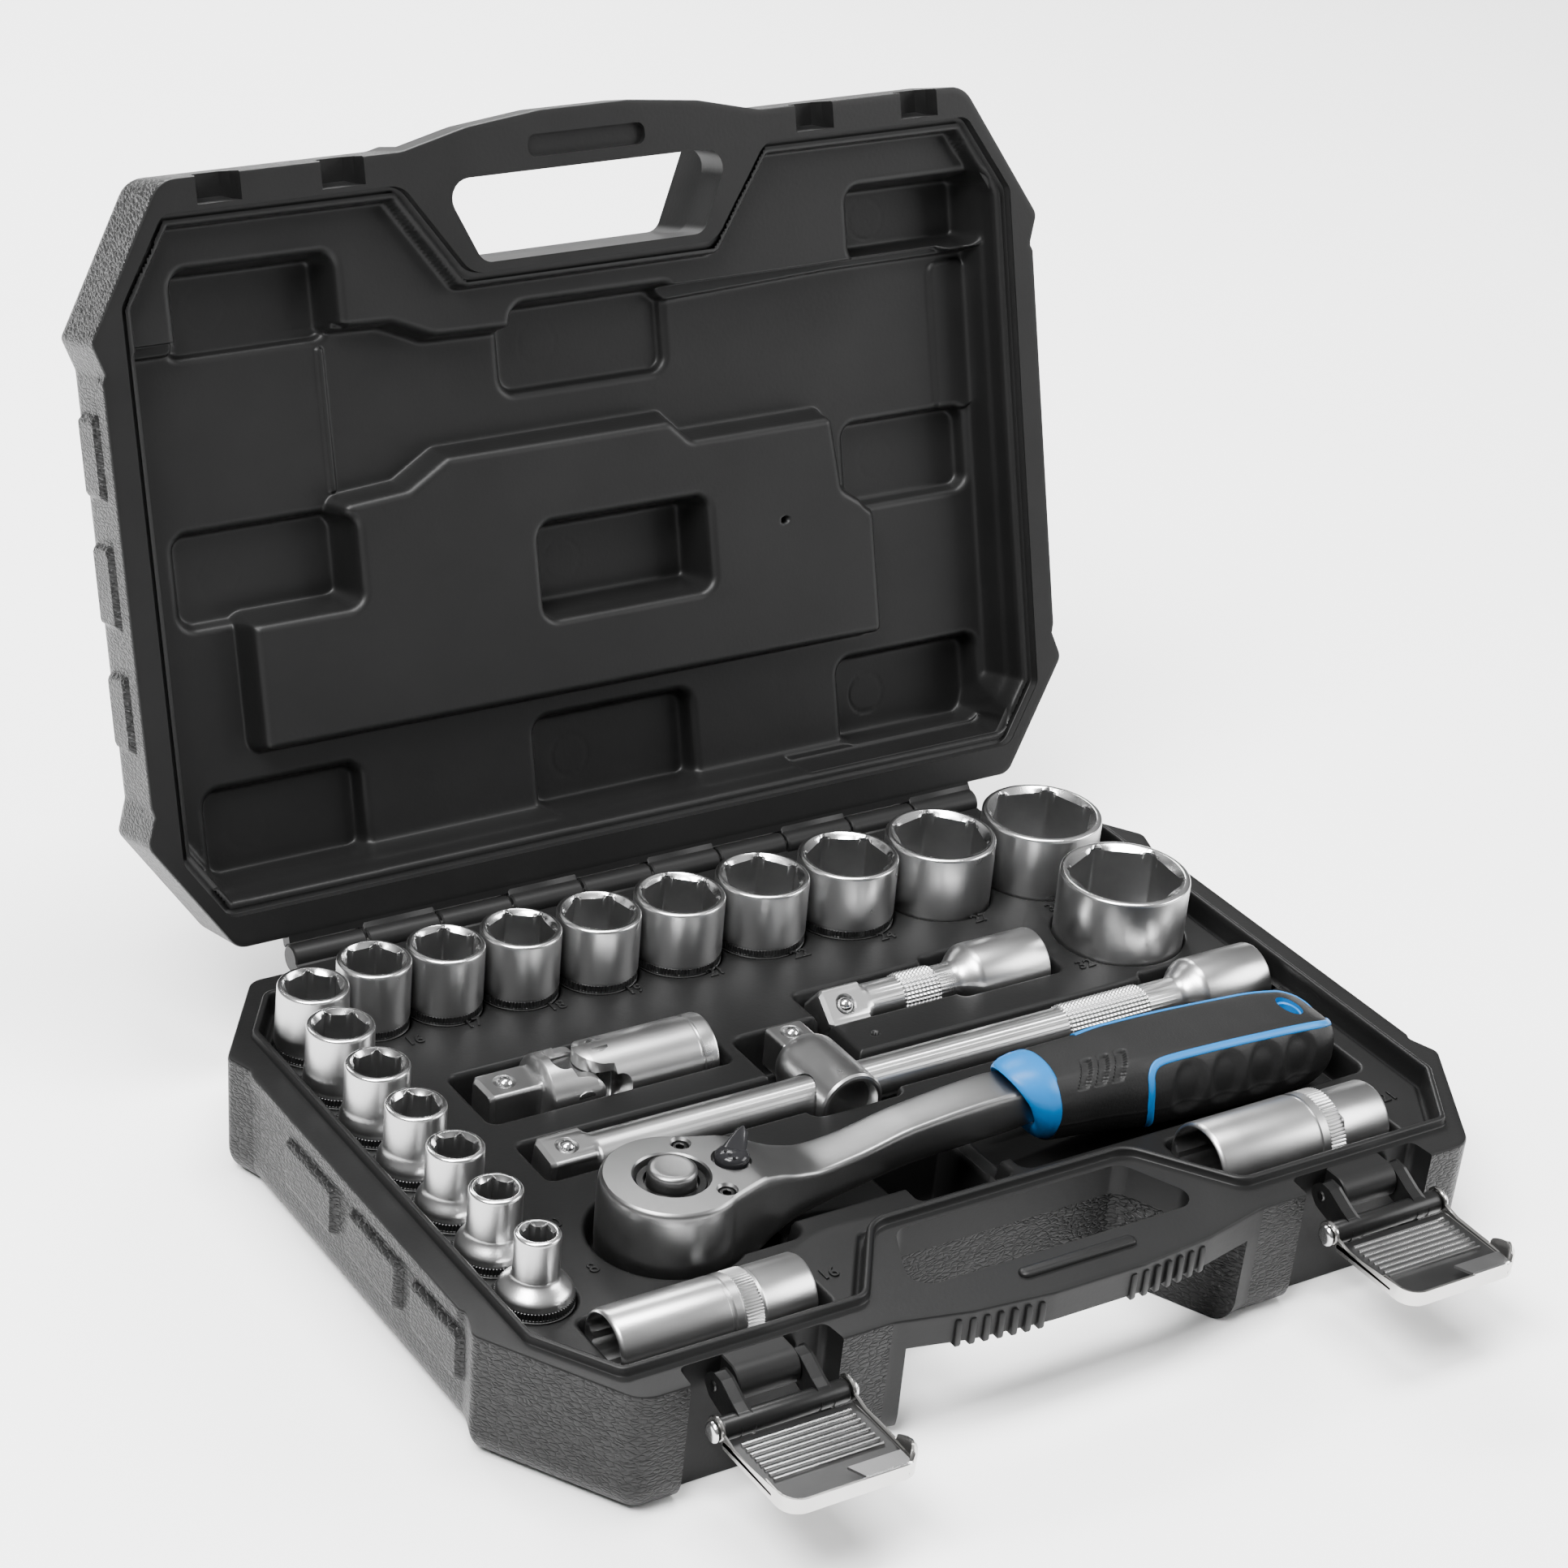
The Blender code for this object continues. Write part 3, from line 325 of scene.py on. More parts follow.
def sheet_mesh(xs, ys, height, keep):
    """A surface over a grid of xs and ys; keep says which grid points stay."""
    nx, ny = len(xs), len(ys)
    gx, gy = np.meshgrid(xs, ys, indexing="ij")
    verts = np.stack([gx, gy, height], -1).reshape(-1, 3)
    index = np.arange(nx * ny).reshape(nx, ny)
    a, b, c, d = index[:-1, :-1], index[1:, :-1], index[1:, 1:], index[:-1, 1:]
    good = keep[:-1, :-1] & keep[1:, :-1] & keep[1:, 1:] & keep[:-1, 1:]
    quads = np.stack([a[good], b[good], c[good], d[good]], 1)
    used = np.unique(quads)
    remap = np.full(nx * ny, -1)
    remap[used] = np.arange(len(used))
    return verts[used], [tuple(q) for q in remap[quads].tolist()]


def grid_lines(low, high, step, features, fine):
    """Grid places with finer spacing around each feature place."""
    places = list(np.arange(low, high + 1e-6, step))
    for f in features:
        places += [f + k for k in np.arange(-3.0, 3.01, fine) if low <= f + k <= high]
    places = np.unique(np.round(places, 3))
    out = [places[0]]
    for p in places[1:]:
        if p - out[-1] >= 0.6 * fine:
            out.append(p)
    return np.array(out)


# ---------------- materials

class Nodes:
    """Short calls for a material's node tree."""

    def __init__(self, name):
        self.mat = bpy.data.materials.new(name)
        self.mat.use_nodes = True
        self.tree = self.mat.node_tree
        self.shader = self.tree.nodes["Principled BSDF"]
        self.place = self.tree.nodes.new("ShaderNodeTexCoord").outputs["Object"]

    def new(self, kind, **settings):
        node = self.tree.nodes.new("ShaderNode" + kind)
        for key, value in settings.items():
            if key in node.inputs:
                node.inputs[key].default_value = value
            else:
                setattr(node, key, value)
        return node

    def link(self, a, b):
        self.tree.links.new(a, b)

    def mapping(self, scale, rotation=(0, 0, 0)):
        node = self.new("Mapping", Scale=scale, Rotation=rotation)
        self.link(self.place, node.inputs["Vector"])
        return node.outputs["Vector"]

    def noise(self, scale, detail=4.0, rough=0.5, at=None, distortion=0.0):
        node = self.new("TexNoise", Scale=scale, Detail=detail, Roughness=rough, Distortion=distortion)
        self.link(at or self.place, node.inputs["Vector"])
        return node.outputs["Fac"]

    def ramp(self, value, stops):
        node = self.new("ValToRGB")
        node.color_ramp.elements[0].position, node.color_ramp.elements[1].position = stops[0][0], stops[-1][0]
        for at, _ in stops[1:-1]:
            node.color_ramp.elements.new(at)
        for element, (_, grey) in zip(node.color_ramp.elements, stops):
            element.color = (*grey, 1) if isinstance(grey, tuple) else (grey, grey, grey, 1)
        self.link(value, node.inputs["Fac"])
        return node.outputs["Color"]

    def math(self, operation, a, b=None, c=None):
        node = self.new("Math", operation=operation)
        for socket, value in zip(node.inputs, (a, b, c)):
            if value is None:
                continue
            if isinstance(value, (int, float)):
                socket.default_value = value
            else:
                self.link(value, socket)
        return node.outputs[0]

    def bump(self, height, distance, strength=1.0, normal=None):
        node = self.new("Bump", Distance=distance, Strength=strength)
        self.link(height, node.inputs["Height"])
        if normal is not None:
            self.link(normal, node.inputs["Normal"])
        return node.outputs["Normal"]

    def colour(self, value):
        self.link(value, self.shader.inputs["Base Color"])

    def set(self, **values):
        names = {"coat_rough": "Coat Roughness", "coat": "Coat Weight", "ior": "IOR",
            "specular": "Specular IOR Level", "metallic": "Metallic", "rough": "Roughness",
            "anisotropy": "Anisotropic", "sheen": "Sheen Weight"}
        for key, value in values.items():
            self.shader.inputs[names[key]].default_value = value
        return self


def plastic(name, grain=0.0, tone=0.042, rough=0.44, stretch=(0.42, 0.42, 1.0)):
    """Black moulded plastic; grain is the depth of its leather grain in millimetres, whose valleys are also
    darkened in the colour as painted shade.
    """
    n = Nodes(name)
    cloud = n.noise(35.0, 5.0, 0.6)
    speck = n.noise(900.0, 2.0, 0.5)
    shade = n.ramp(cloud, [(0.3, tuple([tone * 0.92] * 3)), (0.72, tuple([tone * 1.1] * 3))])
    n.link(n.math("MULTIPLY_ADD", cloud, 0.10, rough - 0.05), n.shader.inputs["Roughness"])
    fine = n.bump(speck, 0.00006, 0.5)
    if grain:
        warp = n.new("TexNoise", Scale=380.0, Detail=2.0)
        n.link(n.place, warp.inputs["Vector"])
        mixed = n.new("VectorMath", operation="MULTIPLY_ADD")
        n.link(warp.outputs["Color"], mixed.inputs[0])
        mixed.inputs[1].default_value = (0.0016, 0.0016, 0.0012)
        n.link(n.place, mixed.inputs[2])
        scaled = n.new("Mapping", Scale=stretch)
        n.link(mixed.outputs[0], scaled.inputs["Vector"])
        cells = n.new("TexVoronoi", feature="DISTANCE_TO_EDGE", Scale=900.0)
        n.link(scaled.outputs["Vector"], cells.inputs["Vector"])
        hide = n.ramp(cells.outputs["Distance"], [(0.0, 0.0), (0.16, 0.7), (0.5, 1.0)])
        wrinkle = n.noise(420.0, 3.0, 0.6, at=scaled.outputs["Vector"])
        height = n.math("MULTIPLY_ADD", wrinkle, 0.45, hide)
        fine = n.bump(height, grain * MM, 0.9, fine)
        # painted shade: the grain's cell edges, its valleys, multiply the colour darker
        painted_valley_shade = n.new("Mix", data_type="RGBA", blend_type="MULTIPLY")
        painted_valley_shade.inputs["Factor"].default_value = 0.65
        n.link(shade, painted_valley_shade.inputs["A"])
        n.link(hide, painted_valley_shade.inputs["B"])
        shade = painted_valley_shade.outputs["Result"]
    n.colour(shade)
    n.link(fine, n.shader.inputs["Normal"])
    n.set(specular=0.2, ior=1.5)
    return n.mat


def metal(name, tone, rough, brush=None, brush_depth=0.02, spots=0.12, anisotropy=0.0, tint=(1.0, 1.0, 1.0)):
    """Plated or bright steel; brush is the scale of its fine lines along each axis."""
    n = Nodes(name)
    cloud = n.noise(60.0, 4.0, 0.6)
    low, high = [tuple(tone * k * t for t in tint) for k in (1 - spots, 1 + spots * 0.5)]
    n.colour(n.ramp(cloud, [(0.3, low), (0.7, high)]))
    smear = n.noise(24.0, 5.0, 0.65, distortion=0.6)
    n.link(n.math("MULTIPLY_ADD", smear, 0.16, rough - 0.08), n.shader.inputs["Roughness"])
    height = n.noise(1500.0, 2.0, 0.5) if brush is None else n.noise(1.0, 3.0, 0.6, at=n.mapping(brush))
    n.link(n.bump(height, brush_depth * MM, 0.35), n.shader.inputs["Normal"])
    n.set(metallic=1.0, anisotropy=anisotropy)
    return n.mat


def rubber(name, tone, rough):
    n = Nodes(name)
    cloud = n.noise(40.0, 4.0, 0.6)
    n.colour(n.ramp(cloud, [(0.3, tuple([tone * 0.85] * 3)), (0.7, tuple([tone * 1.15] * 3))]))
    n.link(n.math("MULTIPLY_ADD", n.noise(90.0), 0.14, rough - 0.07), n.shader.inputs["Roughness"])
    n.link(n.bump(n.noise(1300.0, 3.0, 0.6), 0.00012, 0.6), n.shader.inputs["Normal"])
    n.set(specular=0.22)
    return n.mat


def gloss(name, colour, rough=0.3):
    n = Nodes(name)
    cloud = n.noise(60.0, 3.0, 0.5)
    deep, bright = tuple(0.9 * c for c in colour), tuple(min(1.0, 1.06 * c) for c in colour)
    n.colour(n.ramp(cloud, [(0.3, deep), (0.7, bright)]))
    n.link(n.math("MULTIPLY_ADD", cloud, 0.1, rough - 0.05), n.shader.inputs["Roughness"])
    n.link(n.bump(n.noise(700.0), 0.00005, 0.4), n.shader.inputs["Normal"])
    n.set(specular=0.22)
    return n.mat


SMOOTH = plastic("case_inner_plastic", tone=0.0045, rough=0.44)
GRAIN = plastic("case_outer_grain", grain=0.28, tone=0.011, rough=0.40)
LINK_PLASTIC = plastic("latch_link_plastic", tone=0.005, rough=0.34)
CHROME = metal("satin_chrome", 0.50, 0.30, spots=0.05, brush_depth=0.035)
# painted shade: the bores' chrome is toned darker than the outside (0.34 against 0.50); its lengthwise brush
# lines are real
CHROME_BORE_PAINTED_SHADE = metal("satin_chrome_bore_painted_shade", 0.34, 0.34, brush=(500, 500, 60), spots=0.15)
CHROME_BODY = metal("ratchet_satin_chrome", 0.22, 0.34, spots=0.06, brush_depth=0.05)
# painted shade: a near-black chrome (tone 0.10) for the socket's base and knurled ring where they sit down in
# the pocket; the rougher finish is real
KNURL_PAINTED_SHADE = metal("satin_chrome_knurl_painted_shade", 0.10, 0.4, spots=0.2)
# painted highlight: a brighter chrome (tone 0.78) for the sockets' top rims
CHROME_RIM_HIGHLIGHT = metal("satin_chrome_rim_painted_highlight", 0.78, 0.2, spots=0.05)
BRIGHT = metal("bright_chrome", 0.74, 0.10, spots=0.05, brush_depth=0.008)
NICKEL = metal("nickel_plate", 0.58, 0.18, spots=0.07, brush=(90, 700, 90), brush_depth=0.01,
    tint=(1.0, 0.985, 0.96))
NICKEL_EDGE = metal("nickel_edge", 0.62, 0.2, spots=0.1, brush_depth=0.01)
# painted reflection: near-black nickel (tone 0.06) stands for the dark surroundings mirrored in the lever's
# flat pan; the link's boss pin takes it too
NICKEL_PAINTED_DARK = metal("nickel_painted_dark", 0.06, 0.36, spots=0.12, brush_depth=0.02)
STEEL = metal("bright_steel", 0.6, 0.22, spots=0.12)
DARK_STEEL = metal("black_oxide_steel", 0.035, 0.32, spots=0.3)
RUBBER = rubber("grip_black_rubber", 0.007, 0.5)
BLUE = gloss("blue_grip_plastic", (0.0005, 0.125, 0.36), 0.36)


# ---------------- turned and bored tools

def circle(radius, n):
    return np.full(n, float(radius))


def ngon(sides, apothem, corner, n, turn=0.0):
    """Polar radius of a regular polygon with rounded corners; turn points a corner."""
    theta = tau * np.arange(n) / n - turn
    part = tau / sides
    phi = (theta + part / 2) % part - part / 2      # angle from the nearest corner
    side = part / 2 - np.abs(phi)                   # angle from the nearest flat's middle
    flat = apothem / np.cos(side)
    reach = (apothem - corner) / cos(part / 2)
    under = np.maximum(corner ** 2 - (reach * np.sin(phi)) ** 2, 0)
    arc = reach * np.cos(phi) + np.sqrt(under)
    return np.where(apothem * np.tan(side) > (apothem - corner) * tan(part / 2), arc, flat)


def polar_rings(stations, centre, axis, n):
    """stations: (place along the axis, radius or polar radii). Returns rings about the axis."""
    theta = tau * np.arange(n) / n
    c, s = np.cos(theta), np.sin(theta)
    rings = []
    for along, radii in stations:
        u, v = centre[0] + radii * c, centre[1] + radii * s
        w = np.full(n, float(along)) if np.isscalar(along) else np.asarray(along, float)
        if axis == "Z":
            rings.append(np.stack([u, v, w], 1))
        elif axis == "X":
            rings.append(np.stack([w, u, v], 1))
        else:
            rings.append(np.stack([v, w, u], 1))
    return np.array(rings)


def bored(build, outer, inner, centre, axis, n, mats=(0, 1)):
    """A hollow turned piece: outer stations upwards, inner stations downwards, both open rings joined."""
    stations = outer + inner
    rings = polar_rings(stations, centre, axis, n)
    r = len(rings)
    i = np.arange(n)
    j = (i + 1) % n
    faces, fm = [], []
    for k in range(r):
        a, b = k * n, ((k + 1) % r) * n
        quads = np.stack([a + i, a + j, b + j, b + i], 1)
        faces += [tuple(q) for q in quads.tolist()]
        fm += [mats[0] if k < len(outer) else mats[1]] * n
    start = build.count
    build.add(rings.reshape(-1, 3), faces, 0)
    build.mats[-len(fm):] = fm
    return start


def shifted(place, stations):
    """Stations counted from a place along the axis."""
    return [(place + along, radii) for along, radii in stations]


def edge(z0, r0, z1, r1, steps=3):
    """Stations of a quarter round from (z0, r0) to (z1, r1), leaving r0 along the axis."""
    out = []
    for k in range(1, steps + 1):
        t = 0.5 * pi * k / steps
        out.append((z0 + (z1 - z0) * sin(t), r1 + (r0 - r1) * cos(t)))
    return out


SIZES = (8, 10, 11, 12, 13, 14, 15, 16, 17, 18, 19, 21, 22, 24, 27, 30, 32)
TURNS = {8: 12, 10: 4, 11: 20, 12: 9, 13: 2, 14: 15, 15: 6, 16: 24, 17: 3, 18: 11, 19: 17, 21: 8, 22: 26,
         24: 13, 27: 5, 30: 19, 32: 10}


def knurl(radius, teeth, depth, n):
    theta = tau * np.arange(n) / n
    return radius - depth * (0.5 + 0.5 * np.cos(teeth * theta)) ** 0.6


def socket(size):
    name = f"socket_{size:02d}"
    low, high = node_box(name)
    centre = (0.5 * (low[0] + high[0]), 0.5 * (low[1] + high[1]))
    base, top = low[2], high[2]
    narrow = 0.6 * size + 1.5
    wide = max(11.0, narrow)
    n = 288
    outer = shifted(base, [(0, wide - 1.5), (0.25, wide - 1.0), (1.2, wide - 0.25), (2.0, wide)])
    if size <= 14:
        ring_low, ring_high = DECK + 0.1, DECK + 2.3
        teeth = knurl(wide, 72, 0.55, n)
        outer += shifted(ring_low, [(-0.5, wide), (-0.4, wide - 0.35), (0, wide - 0.35), (0.05, teeth)])
        outer += shifted(ring_high, [(0, teeth), (0.05, wide - 0.4), (0.5, wide - 0.4)])
        bulge = wide - 0.55
        for t in np.arange(10) / 9:
            z = ring_high + 0.8 + 5.6 * t
            eased = 0.5 - 0.5 * cos(pi * t ** 1.15)
            outer.append((z, bulge + (narrow - bulge) * eased))
    elif size <= 24:
        ring_low, ring_high = DECK + 0.1, DECK + 2.1
        teeth = knurl(wide, int(6.4 * wide), 0.55, n)
        outer += shifted(ring_low, [(-0.5, wide), (-0.4, wide - 0.4), (0, wide - 0.4), (0.05, teeth)])
        outer += shifted(ring_high, [(0, teeth), (0.05, wide - 0.45), (0.45, wide - 0.45), (0.9, wide)])
    else:
        outer += shifted(DECK, [(-6, wide), (-5.6, wide - 0.35), (-4.6, wide - 0.35), (-4.2, wide)])
    outer += [(top - 1.1, narrow)] + edge(top - 1.1, narrow, top - 0.12, narrow - 0.75, 4)
    turn = radians(TURNS[size] * 2.5)
    apothem = 0.5 * size + 0.12
    corner = 0.045 * size
    hexagon = ngon(6, apothem, corner, n, turn)
    lip = circle(min(narrow - 0.9, apothem / cos(pi / 6) + 0.15), n)
    outer += [(top, narrow - 1.0), (top, min(narrow - 1.05, lip[0] + 0.12))]
    web = base + 15.0
    drill = circle(min(apothem * 0.985, 8.9), n)
    mouth = np.maximum(hexagon, apothem + 0.62 * (lip - apothem))
    inner = [(top - 0.05, lip), (top - 0.75, mouth), (top - 1.5, hexagon), (top - 6, hexagon),
        (web + 2.4, hexagon)]
    inner += [(web + 2.0, drill), (web + 0.4, drill * 0.97)]
    square = ngon(4, 0.5 * DRIVE + 0.12, 0.5, n, radians(45))
    joined = np.minimum(square, drill * 0.99) if size < 19 else square
    inner += [(web, joined), (base + 7.0, joined if size < 13 else square), (base + 1.2, square)]
    inner += [(base, ngon(4, 0.5 * DRIVE + 0.7, 0.8, n, radians(45)))]
    build = Build()
    # the inner faces take the bore chrome, darkened as painted shade inside the hole
    bored(build, outer, inner, centre, "Z", n)
    for k in range(len(outer) + 1):
        z = outer[k][0] if k < len(outer) else top
        # below the knurl's top, down in the pocket, the faces take the dark knurl chrome as painted shade
        if size <= 24 and z < ring_high + 0.02:
            build.mats[k * n:(k + 1) * n] = [2] * n
        # the top rim and the mouth of the bore take the brighter chrome as a painted highlight
        if z > top - 0.6:
            build.mats[k * n:(k + 1) * n] = [3] * n
    build.mats[len(outer) * n:(len(outer) + 2) * n] = [3] * (2 * n)
    return build.make(name.replace("socket", "hex_socket"), [CHROME, CHROME_BORE_PAINTED_SHADE, KNURL_PAINTED_SHADE, CHROME_RIM_HIGHLIGHT], name, name,
        angle=30)


# ---------------- case

def case_outline():
    bulge = [(15.0, FRONT - 7.6), (40.0, FRONT - 5.0), (62.0, FRONT)]
    corners = [(139.2, FRONT), (165.0, -69.9), (161.5, -59.7), (161.5, 67.6), (165.0, 77.8), (140.7, BACK)]
    return mirrored(bulge + corners)


def inner_outline():
    return mirrored([(43.0, -74.5), (63.5, -103.0), (139.0, -103.0), (154.0, -79.0), (154.0, 84.5),
        (141.5, 103.0)])


CASE_RADII = [30, 25, 12, 9.0, 4.0, 2.5, 2.5, 4.0, 6.0]
CASE_RADII = CASE_RADII + CASE_RADII[::-1]
INNER_RADII = [9, 7, 4, 5, 5, 5]
INNER_RADII = INNER_RADII + INNER_RADII[::-1]
HANDLE_HOLE = [(-50.5, -103.5), (50.5, -103.5), (38.5, -78.0), (-38.5, -78.0)]
LATCH_X = 101.5


def case_ring(inset, counts):
    """The case's outline moved inwards, with rounded corners; counts divides each of its stretches."""
    corners = [Vector(c) for c in case_outline()]
    radii = []
    for i, (radius, c) in enumerate(zip(CASE_RADII, corners)):
        before, after = c - corners[i - 1], corners[(i + 1) % len(corners)] - c
        turn = before.x * after.y - before.y * after.x
        radii.append(max(radius - inset, 0.4) if turn > 0 else radius + inset)
    ring = rounded(offset(case_outline(), inset), radii, 6)
    if counts is None:
        lengths = [hypot(b[0] - a[0], b[1] - a[1]) for a, b in zip(ring, ring[1:] + ring[:1])]
        return [max(1, int(round(length / 1.1))) for length in lengths]
    out = []
    for (x0, y0), (x1, y1), n in zip(ring, ring[1:] + ring[:1], counts):
        out += [(x0 + (x1 - x0) * k / n, y0 + (y1 - y0) * k / n) for k in range(n)]
    return np.array(out)


def inset_ring(outline, distance):
    """Each point moved inwards along its own corner's direction."""
    p = np.array(outline)
    back, ahead = p - np.roll(p, 1, 0), np.roll(p, -1, 0) - p
    back /= np.linalg.norm(back, axis=1)[:, None]
    ahead /= np.linalg.norm(ahead, axis=1)[:, None]
    side = np.stack([-(back + ahead)[:, 1], (back + ahead)[:, 0]], 1)
    scale = 1 / (1 + (back * ahead).sum(1))
    return p, side * scale[:, None] * distance


def smooth_step(x, low, high):
    t = np.clip((x - low) / (high - low), 0, 1)
    return t * t * (3 - 2 * t)


def side_relief(x, y, along, pads, pad_depths):
    """How far the side walls stand out: a smooth ledge under the rim and grained pads under it."""
    side = smooth_step(np.abs(x), 160.6, 161.2) * (np.abs(x) < 161.8)
    ledge = smooth_step(y, -61, -58) * smooth_step(-y, -70, -66) * (1 - smooth_step(along,
        pad_depths[0] - 3, pad_depths[0] - 2))
    out = 1.3 * ledge
    for y0, y1 in pads:
        d = box_distance(y, np.full_like(y, along), y0, y1, pad_depths[0], pad_depths[1], 2.5)
        out = np.maximum(out, 1.9 * smooth_step(-d, -0.2, 1.6))
    return out * side


def case_wall(name, rim, away, depth, pads, pad_depths, turn):
    """The outer body of a case half, from its rim to its flat far side."""
    counts = case_ring(0.0, None)
    outline = case_ring(0.0, counts)
    stations = [(2.2, 0.0), (1.0, 0.0), (0.35, 0.12), (0.08, 0.45), (0.0, 1.0)]
    stations += [(0.8 * a / (depth - 9.0), a) for a in np.arange(2.0, depth - 9.0, 0.8)]
    stations += [(7.5 - 6.7 * cos(t), depth - 9.0 + 9.0 * sin(t)) for t in np.linspace(0, pi / 2, 14)]
    rings = []
    for inset, along in stations:
        q = case_ring(inset, counts)
        relief = side_relief(outline[:, 0], outline[:, 1], along, pads, pad_depths)
        q[:, 0] += np.sign(q[:, 0]) * relief
        rings.append(np.column_stack([q, np.full(len(q), rim + away * along)]))
    n_flat = 3
    build = Build()
    build.rings(rings, 0, flip=away < 0)
    n = len(outline)
    plain = (np.abs(outline[:, 0]) < 62.5) & (outline[:, 1] < -100)
    build.mats = [1 if i < n_flat * n or plain[i % n] else 0 for i in range(len(build.mats))]
    build.mats[-2] = 1
    return solid(name, build, [GRAIN, SMOOTH], turn)


def drop(d, radius, slope):
    """How far a moulded edge has fallen, d outside (+) or inside (-) a pocket's outline."""
    t = np.clip(radius - d, 0, radius)
    return np.where(d < 0, radius - slope * d, radius - np.sqrt(np.maximum(radius ** 2 - t * t, 0)))


TRAY_SOCKETS = {}
for number in SIZES:
    low, high = node_box(f"socket_{number:02d}")
    TRAY_SOCKETS[number] = (0.5 * (low[0] + high[0]), 0.5 * (low[1] + high[1]),
        0.5 * (high[0] - low[0]) + 0.6, low[2] - 0.5)

HEAD_X, RATCHET_Y, SLEEVE_X, BAR_Z, LONG_Y, SHORT_Y, JOINT_Y = -91.5, -46.0, -8.1, 32.0, -1.5, 35.0, 34.0
TROUGHS = [
    # x0, x1, y0, y1, floor, corner radius
    (-135.0, -68.5, -94.5, -71.5, 22.4, 3.0), (61.0, 129.5, -97.5, -69.5, 20.8, 3.0),
    (-83.5, -58.0, -64.2, -27.8, 22.0, 5.0), (-81.5, 17.5, -57.0, -35.0, 27.5, 3.0),
    (16.0, 142.0, -63.5, -28.5, 25.0, 4.0), (-20.0, 12.0, -64.0, -29.5, 7.0, 2.0),
    (SLEEVE_X - 16, SLEEVE_X + 16, -15.5, 31.0, 20.0, 4.0),
    (-109.0, 113.0, LONG_Y - 10.0, LONG_Y + 10.0, 21.8, 2.5),
    (112.0, 151.0, LONG_Y - 12.5, LONG_Y + 12.5, 20.3, 3.0),
    (6.5, 55.0, SHORT_Y - 10.0, SHORT_Y + 10.0, 21.8, 2.5),
    (54.0, 92.5, SHORT_Y - 12.5, SHORT_Y + 12.5, 20.3, 3.0),
    (-110.0, -29.0, JOINT_Y - 13.6, JOINT_Y + 13.6, 19.5, 3.0),
]


def deck_height(x, y):
    height = np.full(x.shape, DECK)
    edge_in = -segment_distance(x, y, inner_outline())
    height -= 1.2 * (1 - smooth_step(edge_in, 3.4, 4.4))
    for cx, cy, radius, floor in TRAY_SOCKETS.values():
        d = np.hypot(x - cx, y - cy) - radius
        height = np.minimum(height, smax(floor, DECK - drop(d, 0.9, 9.0), 1.0))
    head = np.hypot(x - HEAD_X, y - RATCHET_Y) - 22.5
    height = np.minimum(height, smax(24.0, DECK - drop(head, 1.6, 9.0), 2.0))
    for x0, x1, y0, y1, floor, corner in TROUGHS:
        d = box_distance(x, y, x0, x1, y0, y1, corner)
        height = np.minimum(height, smax(floor, DECK - drop(d, 1.5, 8.0), 2.0))
    hole = np.hypot(x - 17.6, y - 15.7) - 1.25
    height = np.minimum(height, smax(29.0, DECK - drop(hole, 0.4, 9.0), 0.5))
    ribs = 2.2 * (np.abs((x + 18) % 5.2 - 2.6) < 0.7) * smooth_step(-np.abs(y + 58.5), -3.4, -2.6)
    slot = (x > -18) & (x < 11) & (y < -54)
    return np.where(slot & (height < 30), height + 8 * (ribs > 0.2), height)


def bead(name, path, section, body, turn=None):
    build = Build()
    outline = rounded(path, INNER_RADII, 8)
    rings = []
    for inwards, z in section:
        p, side = inset_ring(outline, 1.0)
        rings.append(np.column_stack([p + side * inwards, np.full(len(p), z)]))
    build.rings(rings, 0, caps=(False, False), flip=True)
    return build.make(name, [SMOOTH], body, angle=50, turn=turn)


def latch_recess(centre, low, high):
    outline = shifted(centre, [(-25, -130), (25, -130), (22.5, -105.5), (-22.5, -105.5)])
    return prism(rounded(outline, [1, 1, 2.2, 2.2], 4), low, high)


def lug_x(centre, radius, start, end, wall, low, high, x0, x1, chamfer=0.5):
    """A rounded lug across the case, with softened ends."""
    angles = np.radians(np.linspace(start, end, 17))
    build = Build()
    rings = []
    for x, r in ((x0, radius - chamfer), (x0 + chamfer, radius), (x1 - chamfer, radius),
            (x1, radius - chamfer)):
        arc = [(x, centre[0] + r * cos(a), centre[1] + r * sin(a)) for a in angles]
        shift = radius - r
        s = 1 if low < high else -1
        rings.append(arc + [(x, wall, low + s * shift), (x, wall, high - s * shift)])
    build.rings(rings, 0)
    return build


def hinge_lip(build, away, rim):
    """A thin lip along the wall that follows the other half's knuckles and closes the gap beside them."""
    angles = np.radians(np.linspace(180, 125, 7))
    section = [(HINGE[0] + 4.6 * cos(a), rim + away * max(4.6 * sin(a), 0.1)) for a in angles]
    section += [(HINGE[0] + 5.6 * cos(angles[-1]), rim + away * 5.6 * sin(angles[-1])),
        (113.2, rim + away * 5.0), (112.8, rim + away * 0.1)]
    build.rings([[(x, y, z) for y, z in section] for x in (-124, 124)])


def knuckles(first):
    return [-112.5 + 25.0 * i for i in range(first, 10, 2)]


